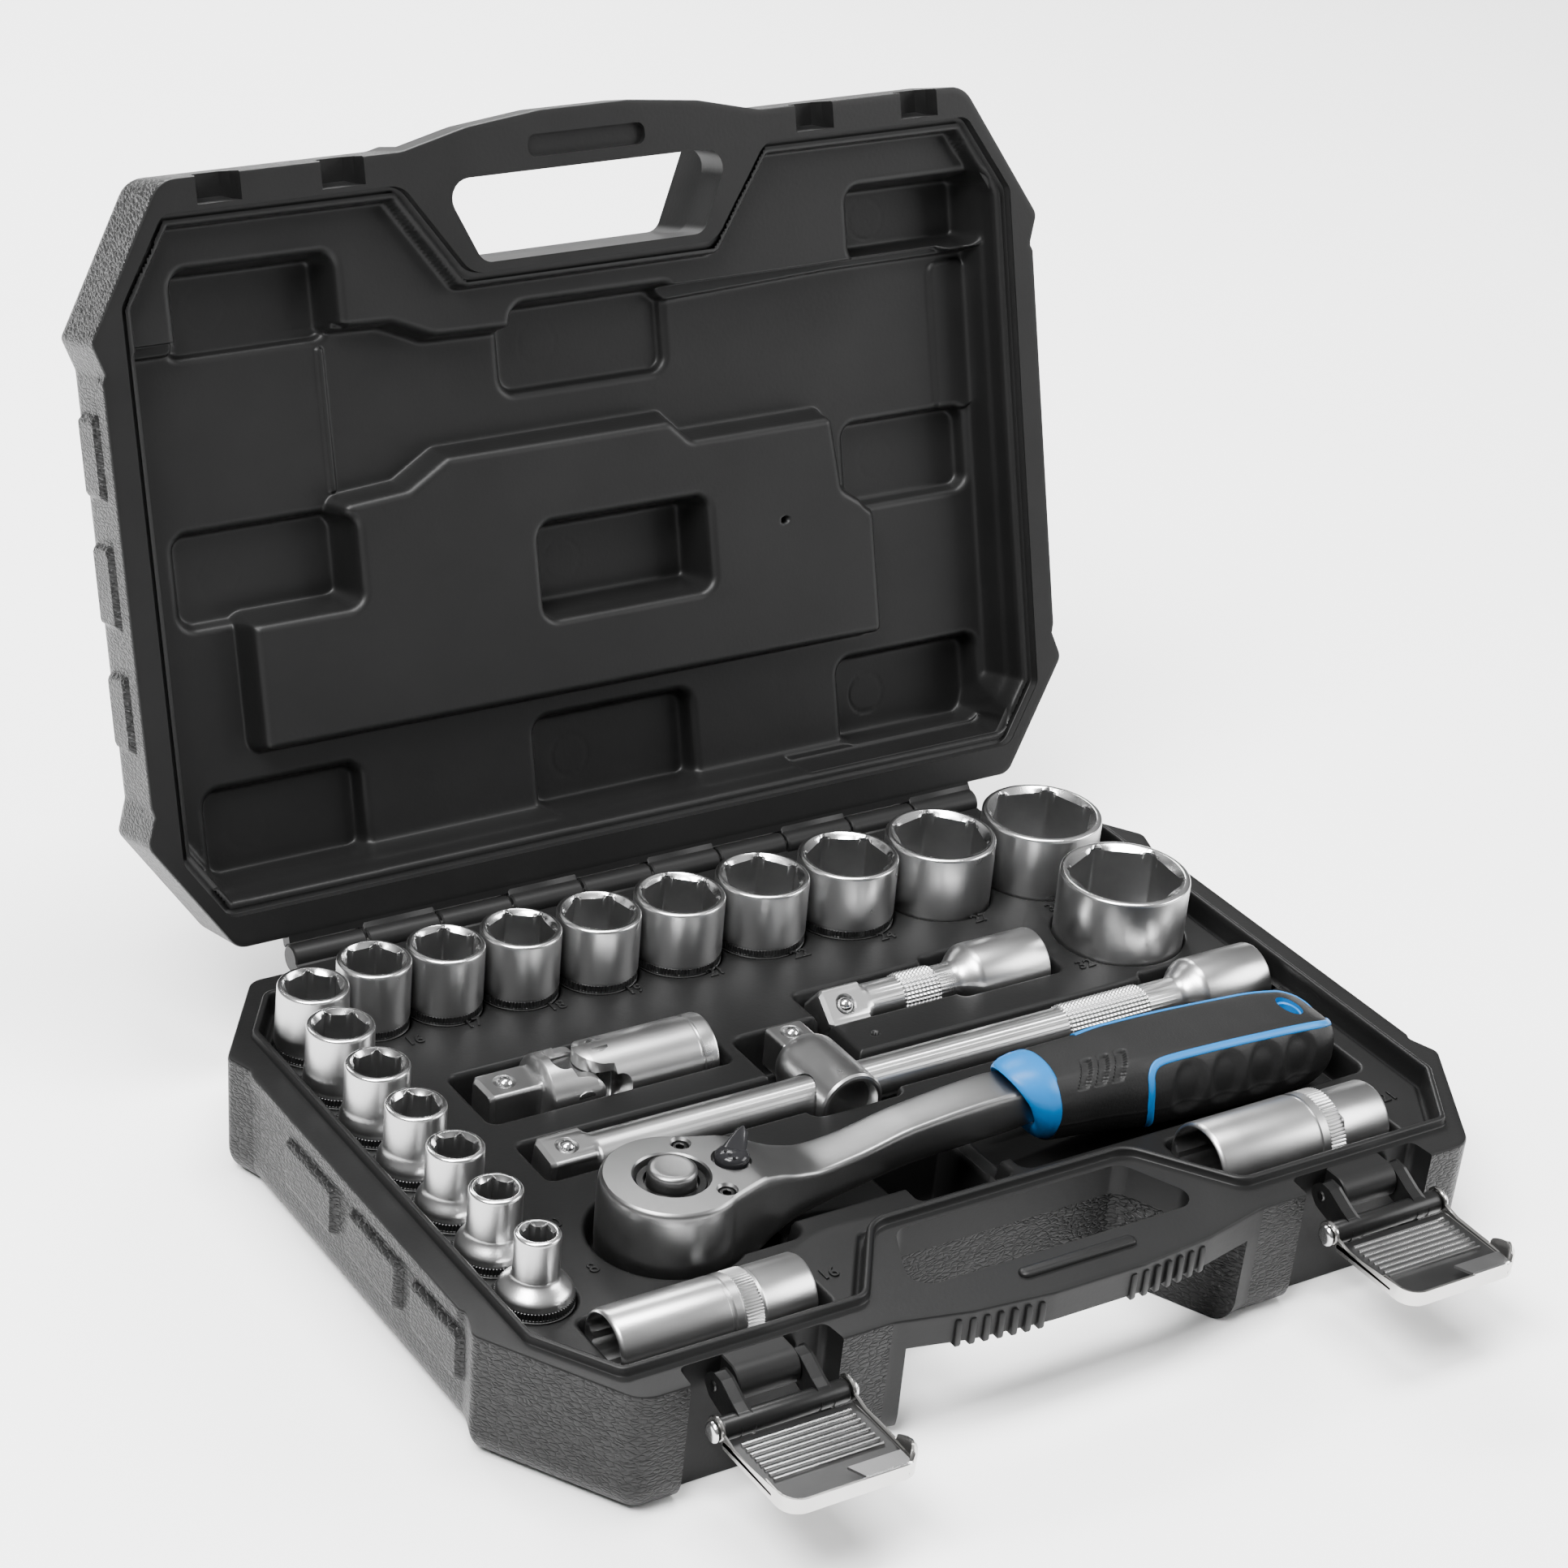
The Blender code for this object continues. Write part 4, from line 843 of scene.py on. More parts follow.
def tray():
    body = case_wall("tray_body", RIM, -1, RIM, [(14, 45), (-25, 6), (-60, -31)], (7.5, 24.0), None)
    handle = rounded([(-65.5, -130.0), (65.5, -130.0), (40.0, -77.0), (-40.0, -77.0)], [1, 1, 5, 5], 5)
    tools = [solid("t1", prism(offset(rounded(inner_outline(), INNER_RADII, 8), 1.0), 1.5, 45.0), SMOOTH),
        solid("t2", prism(rounded(HANDLE_HOLE, [6, 6, 5, 5], 7), 20.0, 45.0), SMOOTH),
        solid("t4", latch_recess(-LATCH_X, -1.0, 45.0), SMOOTH),
        solid("t5", latch_recess(LATCH_X, -1.0, 45.0), SMOOTH),]
    boolean(body, tools)
    boolean(body, [solid("t3", prism(handle, -1.0, RIM - 9.5), GRAIN)])
    fix_normals(body)
    finish_piece(body, "case_tray", "tray_shell", 40)

    xs = np.arange(-154.0, 154.01, 0.5)
    ys = np.arange(-103.0, 103.01, 0.5)
    gx, gy = np.meshgrid(xs, ys, indexing="ij")
    keep = segment_distance(gx, gy, inner_outline()) < -1.9
    verts, faces = sheet_mesh(xs, ys, deck_height(gx, gy), keep)
    make("tray_deck", verts, faces, [SMOOTH], "case_tray", angle=0)
    section = [(-1.0, 38.2), (-0.4, 38.98), (0.0, 39.3), (0.1, 40.9), (0.3, 41.3), (0.7, 41.5), (1.4, 41.5),
        (1.8, 41.3), (2.0, 40.9), (2.15, 39.0), (2.4, 34.6), (2.7, 33.9), (3.4, 33.5), (4.2, 33.2)]
    bead("tray_bead", inner_outline(), section, "case_tray")
    handle_details()
    lugs = Build()
    for x in knuckles(0):
        part = lug_x(HINGE, 4.3, 178, -90, 111.5, RIM - 10, RIM - 1.2, x - KNUCKLE_HALF, x + KNUCKLE_HALF)
        lugs.add(part.points(), part.faces)
    hinge_lip(lugs, -1, RIM)
    fix_normals(lugs.make("tray_hinge_knuckles", [SMOOTH], "case_tray", angle=35))
    boss = Build()
    for x in (-LATCH_X, LATCH_X):
        part = lug_x((-110.0, RIM - 5.5), 5.45, 90, 300, -104.0, RIM - 10.2, RIM - 0.05, x - 9.5, x + 9.5,
            0.35)
        boss.add(part.points(), part.faces)
    boss.make("latch_bosses", [SMOOTH], "case_tray", angle=35)


def handle_details():
    """The grip's raised rib and its finger ribs along the front edge."""
    rib = Build()
    outline = rounded(rect(-19.5, 19.5, -112.6, -108.4), 2.0, 6)
    rib.rings([at_z(outline, RIM - 0.5), at_z(outline, RIM + 0.7), at_z(offset(outline, 0.5), RIM + 1.15),
        at_z(offset(outline, 1.2), RIM + 1.3)])
    for k in range(14):
        x = (-44.0 + 4.2 * k) if k < 7 else (12.0 + 4.2 * (k - 7))
        front = curve(np.array([abs(x)]), [0, 15.0, 40.0, 62.0],
            [FRONT - 7.6, FRONT - 7.6, FRONT - 5.0, FRONT])[0]
        slope = 0.1 if x > 0 else -0.1
        section = rounded([(x - 1.0, front - 0.6 - slope), (x + 1.0, front - 0.6 + slope),
            (x + 1.0, front + 3), (x - 1.0, front + 3)], 0.45, 3)
        rib.rings([at_z(offset(section, 0.3), RIM - 10.6), at_z(section, RIM - 10.0),
            at_z(section, RIM - 3.2), at_z(offset(section, 0.3), RIM - 2.4)])
    fix_normals(rib.make("handle_ribs", [SMOOTH], "case_tray", angle=50))


MAIN_LEVEL = [(-152.0, -64.0), (-82.0, -64.0), (-66.0, -63.5), (-52.0, -57.5), (-30.0, -57.0),
    (34.0, -59.5), (95.0, -61.5), (152.0, -61.5), (152.0, 83.5), (140.0, 101.0), (-140.0, 101.0),
    (-152.0, 83.5),]
PLATEAU = [
    (-121.0, 59.0), (-121.0, 17.5), (-88.0, 17.5), (-88.0, -11.5), (-66.0, -13.0), (-52.0, -21.0),
    (27.0, -21.0), (34.0, -14.0), (87.0, -14.0), (89.5, 10.0), (101.0, 18.0), (101.0, 60.0),
]
WELLS = [
    (-135, -83, -86, -60), (-26, 32, -63, -35), (98, 149, -85, -61), (-139, -84, -8, 20),
    (-23, 38, 5, 35), (97, 144, -8, 19), (-138, -86, 70, 98), (-25, 32, 68, 98), (89, 144, 69, 98),
]

# where the tools' tops reach into the closed lid: x0, x1, y0, y1, corner radius and the depth they need
TOOL_ROOMS = [
    (-150.7, -126, -65.2, 93, 3, 17.9), (64, 142, 61.5, 98.3, 3, 17.9), (100.7, 144.1, 12.9, 56.3, 21, 17.9),
    (28, 138, -61.4, -30, 3, 17.9), (-112.3, -71, -66.4, -26, 20, 14.6),
]


def lid_depth(x, y):
    """How deep the lid's inner floor lies under its rim."""
    inner = segment_distance(x, y, inner_outline())
    depth = smin(10.5, 3.6 + drop(inner + 3.6, 1.6, 7.0), 1.5)
    main = segment_distance(x, y, rounded(MAIN_LEVEL, 3.0, 6))
    main = np.maximum(main, inner + 4.6)
    depth = smin(22.3, depth + drop(main + 0.8, 2.8, 5.0), 2.5)
    plateau = segment_distance(x, y, rounded(PLATEAU, 3.0, 6))
    depth = smin(depth, 10.0 + drop(-plateau - 0.4, 2.8, 5.0), 1.2)
    for x0, x1, y0, y1 in WELLS:
        d = box_distance(x, y, x0, x1, y0, y1, 5.0)
        depth = smin(28.0, depth + drop(d, 2.8, 5.0), 3.0)
        groove = np.abs(np.hypot(x - x0 - 15, y - 0.5 * (y0 + y1)) - 6.5)
        depth = depth + 0.25 * (1 - smooth_step(groove, 0.15, 0.5))
    ridge = segment_distance(x, y, rounded([(-87, -57), (-85.2, -57), (-85.2, -14), (-87, -14)], 0.5, 2))
    depth = depth - 0.8 * smooth_step(-ridge, -0.8, 0.2)
    relief = box_distance(x, y, 134, 147, -56, -8, 3.0)
    depth = depth - 1.2 * smooth_step(-relief, -1.2, 0.2)
    for x0, x1, y0, y1, radius, deep in TOOL_ROOMS:
        room = deep - 9.0 * np.maximum(0, box_distance(x, y, x0, x1, y0, y1, radius))
        depth = -smin(-depth, -room, 0.3)
    hole = np.hypot(x - 66, y - 17) - 1.25
    return depth + np.minimum(5.0, drop(hole, 0.3, 9.0))


def open_lid(verts):
    """From the closed lid's place to its open one."""
    a = radians(-LID_OPEN)
    y, z = verts[:, 1] - HINGE[0], verts[:, 2] - HINGE[1]
    return np.column_stack([verts[:, 0], HINGE[0] + y * cos(a) - z * sin(a),
        HINGE[1] + y * sin(a) + z * cos(a)])


def lid():
    rim = RIM + LID_GAP
    body = case_wall("lid_body", rim, 1, LID_DEPTH, [(28.5, 52), (-10, 15), (-48, -23)], (10.0, 24.5), None)
    handle = rounded([(-65.5, -130.0), (65.5, -130.0), (40.0, -77.0), (-40.0, -77.0)], [1, 1, 5, 5], 5)
    tools = [solid("t1", prism(offset(rounded(inner_outline(), INNER_RADII, 8), -0.75), rim - 1,
        rim + LID_DEPTH - 1.5), SMOOTH),]
    for centre in (-LATCH_X, LATCH_X):
        for side in (-1, 1):
            a, b = sorted((centre + side * 13.0, centre + side * 26.5))
            notch = [[(a - 0.4, -125, rim - 1), (b + 0.4, -125, rim - 1), (b + 0.4, -105.2, rim - 1),
                (a - 0.4, -105.2, rim - 1)], [(a + 0.6, -125, rim + 5), (b - 0.6, -125, rim + 5),
                (b - 0.6, -105.4, rim + 5), (a + 0.6, -105.4, rim + 5)],
                [(a + 2.6, -125, rim + 8.5), (b - 2.6, -125, rim + 8.5), (b - 2.6, -106.2, rim + 8.5),
                (a + 2.6, -106.2, rim + 8.5)]]
            tools.append(solid("n", Build().rings(notch), SMOOTH))
    tools.append(solid("s", prism(rounded(rect(-20.3, 20.3, -114.0, -107.4), 2.6, 6), rim - 1, rim + 2.0),
        SMOOTH))
    boolean(body, tools)
    boolean(body, [solid("t2", prism(rounded(HANDLE_HOLE, [6, 6, 5, 5], 7), rim - 1, rim + 20), SMOOTH)])
    boolean(body, [solid("t3", prism(handle, rim + 12.5, rim + LID_DEPTH + 1), SMOOTH)])
    fix_normals(body)
    turn_mesh(body, open_lid)
    finish_piece(body, "case_lid", "lid_shell", 40)

    x_lines = [v for w in WELLS for v in w[:2]] + [-121, -88, 87, 101, -150, 150]
    y_lines = [v for w in WELLS for v in w[2:]] + [59, 17.5, -21, -14, -61.5, -68, -99, 99]
    xs = grid_lines(-154.0, 154.0, 0.8, x_lines, 0.4)
    ys = grid_lines(-103.0, 103.0, 0.8, y_lines, 0.4)
    gx, gy = np.meshgrid(xs, ys, indexing="ij")
    keep = segment_distance(gx, gy, inner_outline()) < -1.2
    verts, faces = sheet_mesh(xs, ys, rim + lid_depth(gx, gy), keep)
    faces = [f[::-1] for f in faces]
    make("lid_floor", open_lid(verts), faces, [SMOOTH], "case_lid", angle=0)
    section = [(-1.6, 0.6), (-1.2, 0.02), (-0.75, 0.4), (-0.7, 3.2), (-0.4, 3.5), (1.4, 3.6), (2.2, 3.7),
        (3.4, 4.6)]
    bead("lid_groove", inner_outline(), [(i, rim + d) for i, d in section], "case_lid", open_lid)
    lugs = Build()
    for x in knuckles(1):
        part = lug_x(HINGE, 4.3, -178, 90, 111.5, RIM + 10, RIM + 1.6, x - KNUCKLE_HALF, x + KNUCKLE_HALF)
        lugs.add(part.points(), part.faces)
    hinge_lip(lugs, 1, rim)
    made = lugs.make("lid_hinge_knuckles", [SMOOTH], "case_lid", angle=35, turn=open_lid)
    fix_normals(made)


def turn_mesh(obj, turn):
    """A mesh moved by a function of its points in millimetres."""
    points = np.empty(len(obj.data.vertices) * 3)
    obj.data.vertices.foreach_get("co", points)
    points = turn(points.reshape(-1, 3) / MM) * MM
    obj.data.vertices.foreach_set("co", points.ravel())
    obj.data.update()


# ---------------- bars and turned tools

def lathe(build, stations, centre, axis, mat=0, caps=(True, True)):
    """A solid turned piece; each station is (place along the axis, radius or polar radii)."""
    n = next((len(r) for _, r in stations if not np.isscalar(r)), 96)
    return build.rings(polar_rings(stations, centre, axis, n), mat, caps)


def turned(stations, centre, axis, mat=0, caps=(True, True)):
    return lathe(Build(), stations, centre, axis, mat, caps)


def soft_square(side, n, turn=0.0, corner=1.1):
    return ngon(4, side / 2, corner, n, radians(45 + turn))


def diamond(radius, depth, around, pitch, low, high, n):
    """Stations of a diamond knurl between low and high, with chamfered ends."""
    theta = tau * np.arange(n) / n
    out = []
    for z in np.arange(low, high + 1e-6, pitch / 7):
        bump = 0.25 * (np.cos(around * theta) + cos(tau * (z - low) / pitch)) + 0.5
        edge_z = min(z - low, high - z)
        fade = min(1.0, edge_z / 0.8)
        out.append((z, radius - depth * (1 - bump) - 0.3 * (1 - fade)))
    return out


def drive_square(low, length, n, turn, shaft):
    """A male square's stations, its free end chamfered, fading into the round shaft."""
    square = soft_square(DRIVE, n, turn)
    small = soft_square(DRIVE - 2.2, n, turn)
    shaft = circle(shaft, n)
    return [(low, small * 0.9), (low + 0.1, small), (low + 1.2, square), (low + length - 3.0, square),
        (low + length - 1.6, np.minimum(square, shaft + 0.5)), (low + length - 0.6,
        np.minimum(square, shaft)), (low + length, shaft)]


def drive_hole(high, n, turn, outer, depth=14.0):
    """Stations into a bar's socket end, from its outer edge to the hole's floor."""
    square = ngon(4, DRIVE / 2 + 0.12, 0.5, n, radians(45 + turn))
    mouth = circle(DRIVE / 2 + 1.5, n)
    return [(high, outer), (high, DRIVE / 2 + 1.9), (high - 0.5, mouth),
        (high - 1.6, np.minimum(square, mouth)), (high - depth, square), (high - depth, square * 0.5)]


def ball(name, node, body, centre, radius=2.6, rows=14, n=28):
    build = Build()
    angles = np.linspace(-pi / 2, pi / 2, rows + 1)[1:-1]
    stations = [(centre[2] + radius * sin(a), radius * cos(a)) for a in angles]
    build.rings(polar_rings(stations, centre[:2], "Z", n), 0)
    build.make(name, [BRIGHT], body, node)


def dimple(bar, centre, turn):
    """A shallow round seat round the ball in the square's face."""
    a = radians(turn)
    up = Vector((0, -sin(a), cos(a)))
    along = Vector((0, cos(a), sin(a)))
    face = Vector(centre) + up * (DRIVE / 2)
    rings = []
    for height, r in ((-2.4, 2.7), (-1.0, 3.1), (0.2, 3.6), (3.0, 4.6)):
        ring = []
        for k in range(32):
            t = tau * k / 32
            p = face + up * height + Vector((1, 0, 0)) * (r * cos(t)) + along * (r * sin(t))
            ring.append(tuple(p))
        rings.append(ring)
    tool = solid("dimple", Build().rings(rings), CHROME)
    boolean(bar, [tool])


def bar(name, node, body, low, high, y, knurl_at, shoulder, turn):
    n = 288
    stations = drive_square(low, 17.0, n, turn, 6.4)
    stations += [(knurl_at[0] - 0.3, 6.4)]
    stations += diamond(7.2, 0.75, 34, 1.4, knurl_at[0], knurl_at[1], n)
    stations += [(knurl_at[1] + 0.3, 6.4), (shoulder, 6.4)]
    for k in range(1, 9):
        t = k / 8
        stations.append((shoulder + 8 * t, 6.4 + 4.6 * (0.5 - 0.5 * cos(pi * t))))
    stations += [(high - 0.9, 11.0), (high - 0.3, 10.75)]
    stations += drive_hole(high, n, turn, 10.3)
    build = turned(stations, (y, BAR_Z), "X")
    made = solid(name, build, CHROME)
    ball_at = middle(f"{node}_ball")
    dimple(made, (ball_at[0], y, BAR_Z), turn)
    fix_normals(made)
    finish_piece(made, body, node, 30, weighted=False)
    ball(f"{name}_detent_ball", f"{node}_ball", body, ball_at)


def plug(size):
    """A long socket lying down with its rubber ring."""
    node = f"plug_socket_{size}"
    low, high = node_box(node)
    y, z = 0.5 * (low[1] + high[1]), 0.5 * (low[2] + high[2])
    x0, x1, r = low[0], high[0], 0.5 * (high[1] - low[1])
    step = (0.86 if size > 20 else 0.97) * r + 0.1
    n = 288
    band = x0 + 0.56 * (x1 - x0)
    outer = shifted(x0, [(0, r - 1.0), (0.15, r - 0.7), (0.8, r - 0.15), (1.4, r)])
    outer += [(band - 0.4, r), (band, r - 0.5), (band + 0.9, r - 0.5), (band + 1.2, r), (band + 3.4, r),
        (band + 3.7, r - 0.35), (band + 4.1, r - 0.35), (band + 4.2, knurl(r, 72, 0.5, n)),
        (band + 9.4, knurl(r, 72, 0.5, n)), (band + 9.6, r - 0.5), (band + 10.2, step + 0.2),
        (band + 11.0, step), (x1 - 1.2, step), (x1 - 0.3, step - 0.5), (x1, step - 1.1)]
    square = ngon(4, DRIVE / 2 + 0.12, 0.5, n, radians(65))
    mouth = circle(DRIVE / 2 + 1.6, n)
    hexagon = ngon(6, 0.5 * size + 0.12, 0.05 * size, n, radians(15))
    lip = circle(min(r - 1.2, 0.5 * size / cos(pi / 6) + 0.2), n)
    inner = [(x1, np.minimum(mouth + 0.3, step - 1.2)), (x1 - 0.6, np.minimum(mouth, step - 1.3)),
        (x1 - 1.4, np.minimum(square, mouth)), (x1 - 14, square), (x1 - 14.1, 5.4), (x1 - 17, 5.5),
        (x1 - 17.1, hexagon), (x0 + 1.6, hexagon), (x0 + 0.7, np.maximum(hexagon, 0.6 * lip + 0.2 * size)),
        (x0 + 0.05, lip)]
    build = Build()
    # the inner faces take the bore chrome, darkened as painted shade inside the hole
    bored(build, outer, inner, (y, z), "X", n)
    build.make(f"spark_plug_socket_{size}", [CHROME, CHROME_BORE_PAINTED_SHADE], node, node, angle=30)
    low, high = node_box(f"{node}_rubber_ring")
    rr = 0.5 * (high[1] - low[1])
    ring = Build()
    bored(ring, [(low[0], rr - 0.4), (low[0] + 0.5, rr), (high[0] - 0.5, rr), (high[0], rr - 0.4)],
        [(high[0], rr - 1.7), (high[0] - 1, rr - 2.2), (low[0] + 1, rr - 2.2), (low[0], rr - 1.7)], (y, z),
        "X", 72, mats=(0, 0))
    ring.make(f"plug_holding_ring_{size}", [RUBBER], node, f"{node}_rubber_ring")


def sliding_t_head():
    node, n = "sliding_head", 192
    centre = (BAR_Z, SLEEVE_X)
    r = 10.7
    stations = [(-8.8, 3.0), (-8.9, 7.6), (-10.9, 8.2), (-11.9, 8.7), (-12.0, 9.5), (-11.7, 10.2),
        (-11.0, r), (-6.0, r)]
    stations += [(9.0, r), (12.5, r - 0.05), (14.2, 10.1), (16.0, 9.1), (17.0, 8.4),
        (17.2, soft_square(DRIVE, n) * 1.0)]
    square = soft_square(DRIVE, n)
    stations += [(17.3, square), (26.8, square), (27.9, square * 0.88), (28.0, square * 0.8)]
    build = turned(stations, centre, "Y")
    made = solid("t_head", build, CHROME)
    bore = turned(shifted(SLEEVE_X, [(-15, 8.6), (-10.4, 7.0), (-9.0, 6.75), (9.0, 6.75), (10.4, 7.0),
        (15, 8.6)]), (LONG_Y, BAR_Z), "X")
    # the cut bore takes the bore chrome, darkened as painted shade inside the hole
    boolean(made, [solid("bore", bore, CHROME_BORE_PAINTED_SHADE)])
    place = middle("sliding_head_ball")
    dimple(made, (SLEEVE_X, place[1], BAR_Z), 0)
    fix_normals(made)
    finish_piece(made, "sliding_head", node, 30, weighted=False)
    ball("t_head_detent_ball", "sliding_head_ball", "sliding_head", place)


def fork_outline(pin, body, radius, half):
    """Seen across the ear: a round end about the pin, widening into the body."""
    s = 1 if body > pin else -1
    arc = [(pin - s * radius * cos(a), radius * sin(a)) for a in np.linspace(-pi / 2, pi / 2, 25)]
    root = body - s * 1.5
    return arc + [(pin + s * 2.0, radius + 0.3), (root - s * 3.0, half - 0.8), (root, half + 0.5),
        (body + s * 60, half + 0.5), (body + s * 60, -half - 0.5), (root, -half - 0.5),
        (root - s * 3.0, -half + 0.8), (pin + s * 2.0, -radius - 0.3)]


def universal_joint():
    y, z, n = JOINT_Y, BAR_Z, 192
    pitch_x, yaw_x = middle("universal_joint_level_pin")[0], middle("universal_joint_upright_pin")[0]
    low, high = -106.0, -32.0
    # socket fork, its ears over and under the block
    stations = [(yaw_x - 9.0, 9.6), (yaw_x - 6.0, 11.0), (yaw_x - 4.0, 11.4), (high - 6.2, 11.4),
        (high - 6.0, 10.9), (high - 5.0, 10.9), (high - 4.8, 11.4), (high - 1.0, 11.4), (high - 0.3, 11.1),
        (high, 10.6)]
    stations += drive_hole(high, n, 0, 10.0)[1:]
    fork = solid("uj_socket_fork", turned(stations, (y, z), "X"), CHROME)
    start = yaw_x + 6.5
    outline = [(x, y + v) for x, v in fork_outline(yaw_x, start, 7.2, 11.4)]
    ear = prism(outline, z - 14, z + 14)
    boolean(fork, [solid("ear", ear, CHROME)], "INTERSECT")
    slot = rounded([(yaw_x - 30, z - 6.0), (start, z - 6.0), (start, z + 6.0), (yaw_x - 30, z + 6.0)],
        [0.5, 3.5, 3.5, 0.5], 6)
    cut_it = prism_y(slot, y - 14, y + 14)
    boolean(fork, [solid("slot", cut_it, CHROME)])
    bevel(fork, 0.5, 2, 50)
    fix_normals(fork)
    finish_piece(fork, "universal_joint", "universal_joint_socket_fork", 34)
    pins = turned(shifted(z, [(-11.3, 3.1), (-11.15, 3.5), (-10.4, 3.5), (-10.35, 2.0), (10.35, 2.0),
        (10.4, 3.5), (11.15, 3.5), (11.3, 3.1)]), (yaw_x, y), "Z")
    pins.make("uj_upright_pin", [STEEL], "universal_joint", "universal_joint_upright_pin")
    # drive fork, its ears before and behind the block
    start = pitch_x - 7.8
    stations = drive_square(low, 17.0, n, 0, 8.3)
    stations += [(low + 17.2, 8.6), (low + 17.8, 10.4), (low + 18.8, 11.2), (pitch_x + 4.0, 11.2),
        (pitch_x + 7.0, 10.0)]
    fork = solid("uj_drive_fork", turned(stations, (y, z), "X"), CHROME)
    outline = [(x, z + v) for x, v in fork_outline(pitch_x, start, 7.2, 11.2)]
    ear = prism_y(outline, y - 14, y + 14)
    boolean(fork, [solid("ear", ear, CHROME)], "INTERSECT")
    slot = rounded([(start, y - 6.0), (pitch_x + 30, y - 6.0), (pitch_x + 30, y + 6.0), (start, y + 6.0)],
        [3.5, 0.5, 0.5, 3.5], 6)
    boolean(fork, [solid("slot", prism(slot, z - 14, z + 14), CHROME)])
    bevel(fork, 0.5, 2, 50)
    dimple(fork, (middle("universal_joint_ball")[0], y, z), 0)
    fix_normals(fork)
    finish_piece(fork, "universal_joint_drive_end", "universal_joint_drive_fork", 34)
    pins = turned(shifted(y, [(-11.1, 3.1), (-10.95, 3.5), (-10.2, 3.5), (-10.15, 2.0), (10.15, 2.0),
        (10.2, 3.5), (10.95, 3.5), (11.1, 3.1)]), (z, pitch_x), "Y")
    pins.make("uj_level_pin", [STEEL], "universal_joint_drive_end", "universal_joint_level_pin")
    ball("uj_detent_ball", "universal_joint_ball", "universal_joint_drive_end",
        middle("universal_joint_ball"))
    block = [(pitch_x - 5.0, -2.6), (pitch_x - 2.6, -5.6), (yaw_x + 2.6, -5.6), (yaw_x + 5.0, -2.6)]
    block = rounded([(x, y + v) for x, v in block] + [(x, y - v) for x, v in reversed(block)], 1.0, 4)
    made = solid("uj_cross_block", prism(block, z - 5.6, z + 5.6), STEEL)
    bevel(made, 0.6, 2, 50)
    finish_piece(made, "universal_joint_cross", "universal_joint_block", 34)


# ---------------- ratchet

def curve(at, places, values):
    """A smooth curve through (places, values), flat where the values turn round."""
    p, v = np.array(places, float), np.array(values, float)
    step = np.diff(v) / np.diff(p)
    slope = np.empty_like(v)
    slope[0], slope[-1] = step[0], step[-1]
    slope[1:-1] = np.where(step[1:] * step[:-1] > 0, 2 * step[1:] * step[:-1] / (step[1:] + step[:-1]
        + 1e-12), 0)
    x = np.clip(at, p[0], p[-1])
    k = np.clip(np.searchsorted(p, x) - 1, 0, len(p) - 2)
    h = p[k + 1] - p[k]
    t = (x - p[k]) / h
    return ((2 * t ** 3 - 3 * t ** 2 + 1) * v[k] + (t ** 3 - 2 * t ** 2 + t) * h * slope[k]
        + (3 * t ** 2 - 2 * t ** 3) * v[k + 1] + (t ** 3 - t ** 2) * h * slope[k + 1])


HEAD_TOP, HEAD_BASE = 53.0, 27.0
NECK_X = [-80.0, -70.0, -62.0, -54.0, -46.0, -35.0, -15.0, 16.0, 34.0]
NECK_HALF = [16.7, 13.2, 10.6, 8.8, 7.8, 7.2, 7.0, 7.4, 6.2]
NECK_TOP = [HEAD_TOP, HEAD_TOP - 0.2, 50.6, 47.6, 46.2, 47.2, 51.0, 53.2, 51.0]
NECK_BASE = [HEAD_BASE, HEAD_BASE + 0.6, 30.2, 32.6, 33.8, 35.5, 38.5, 40.0, 41.0]
SWITCH_X = -72.4


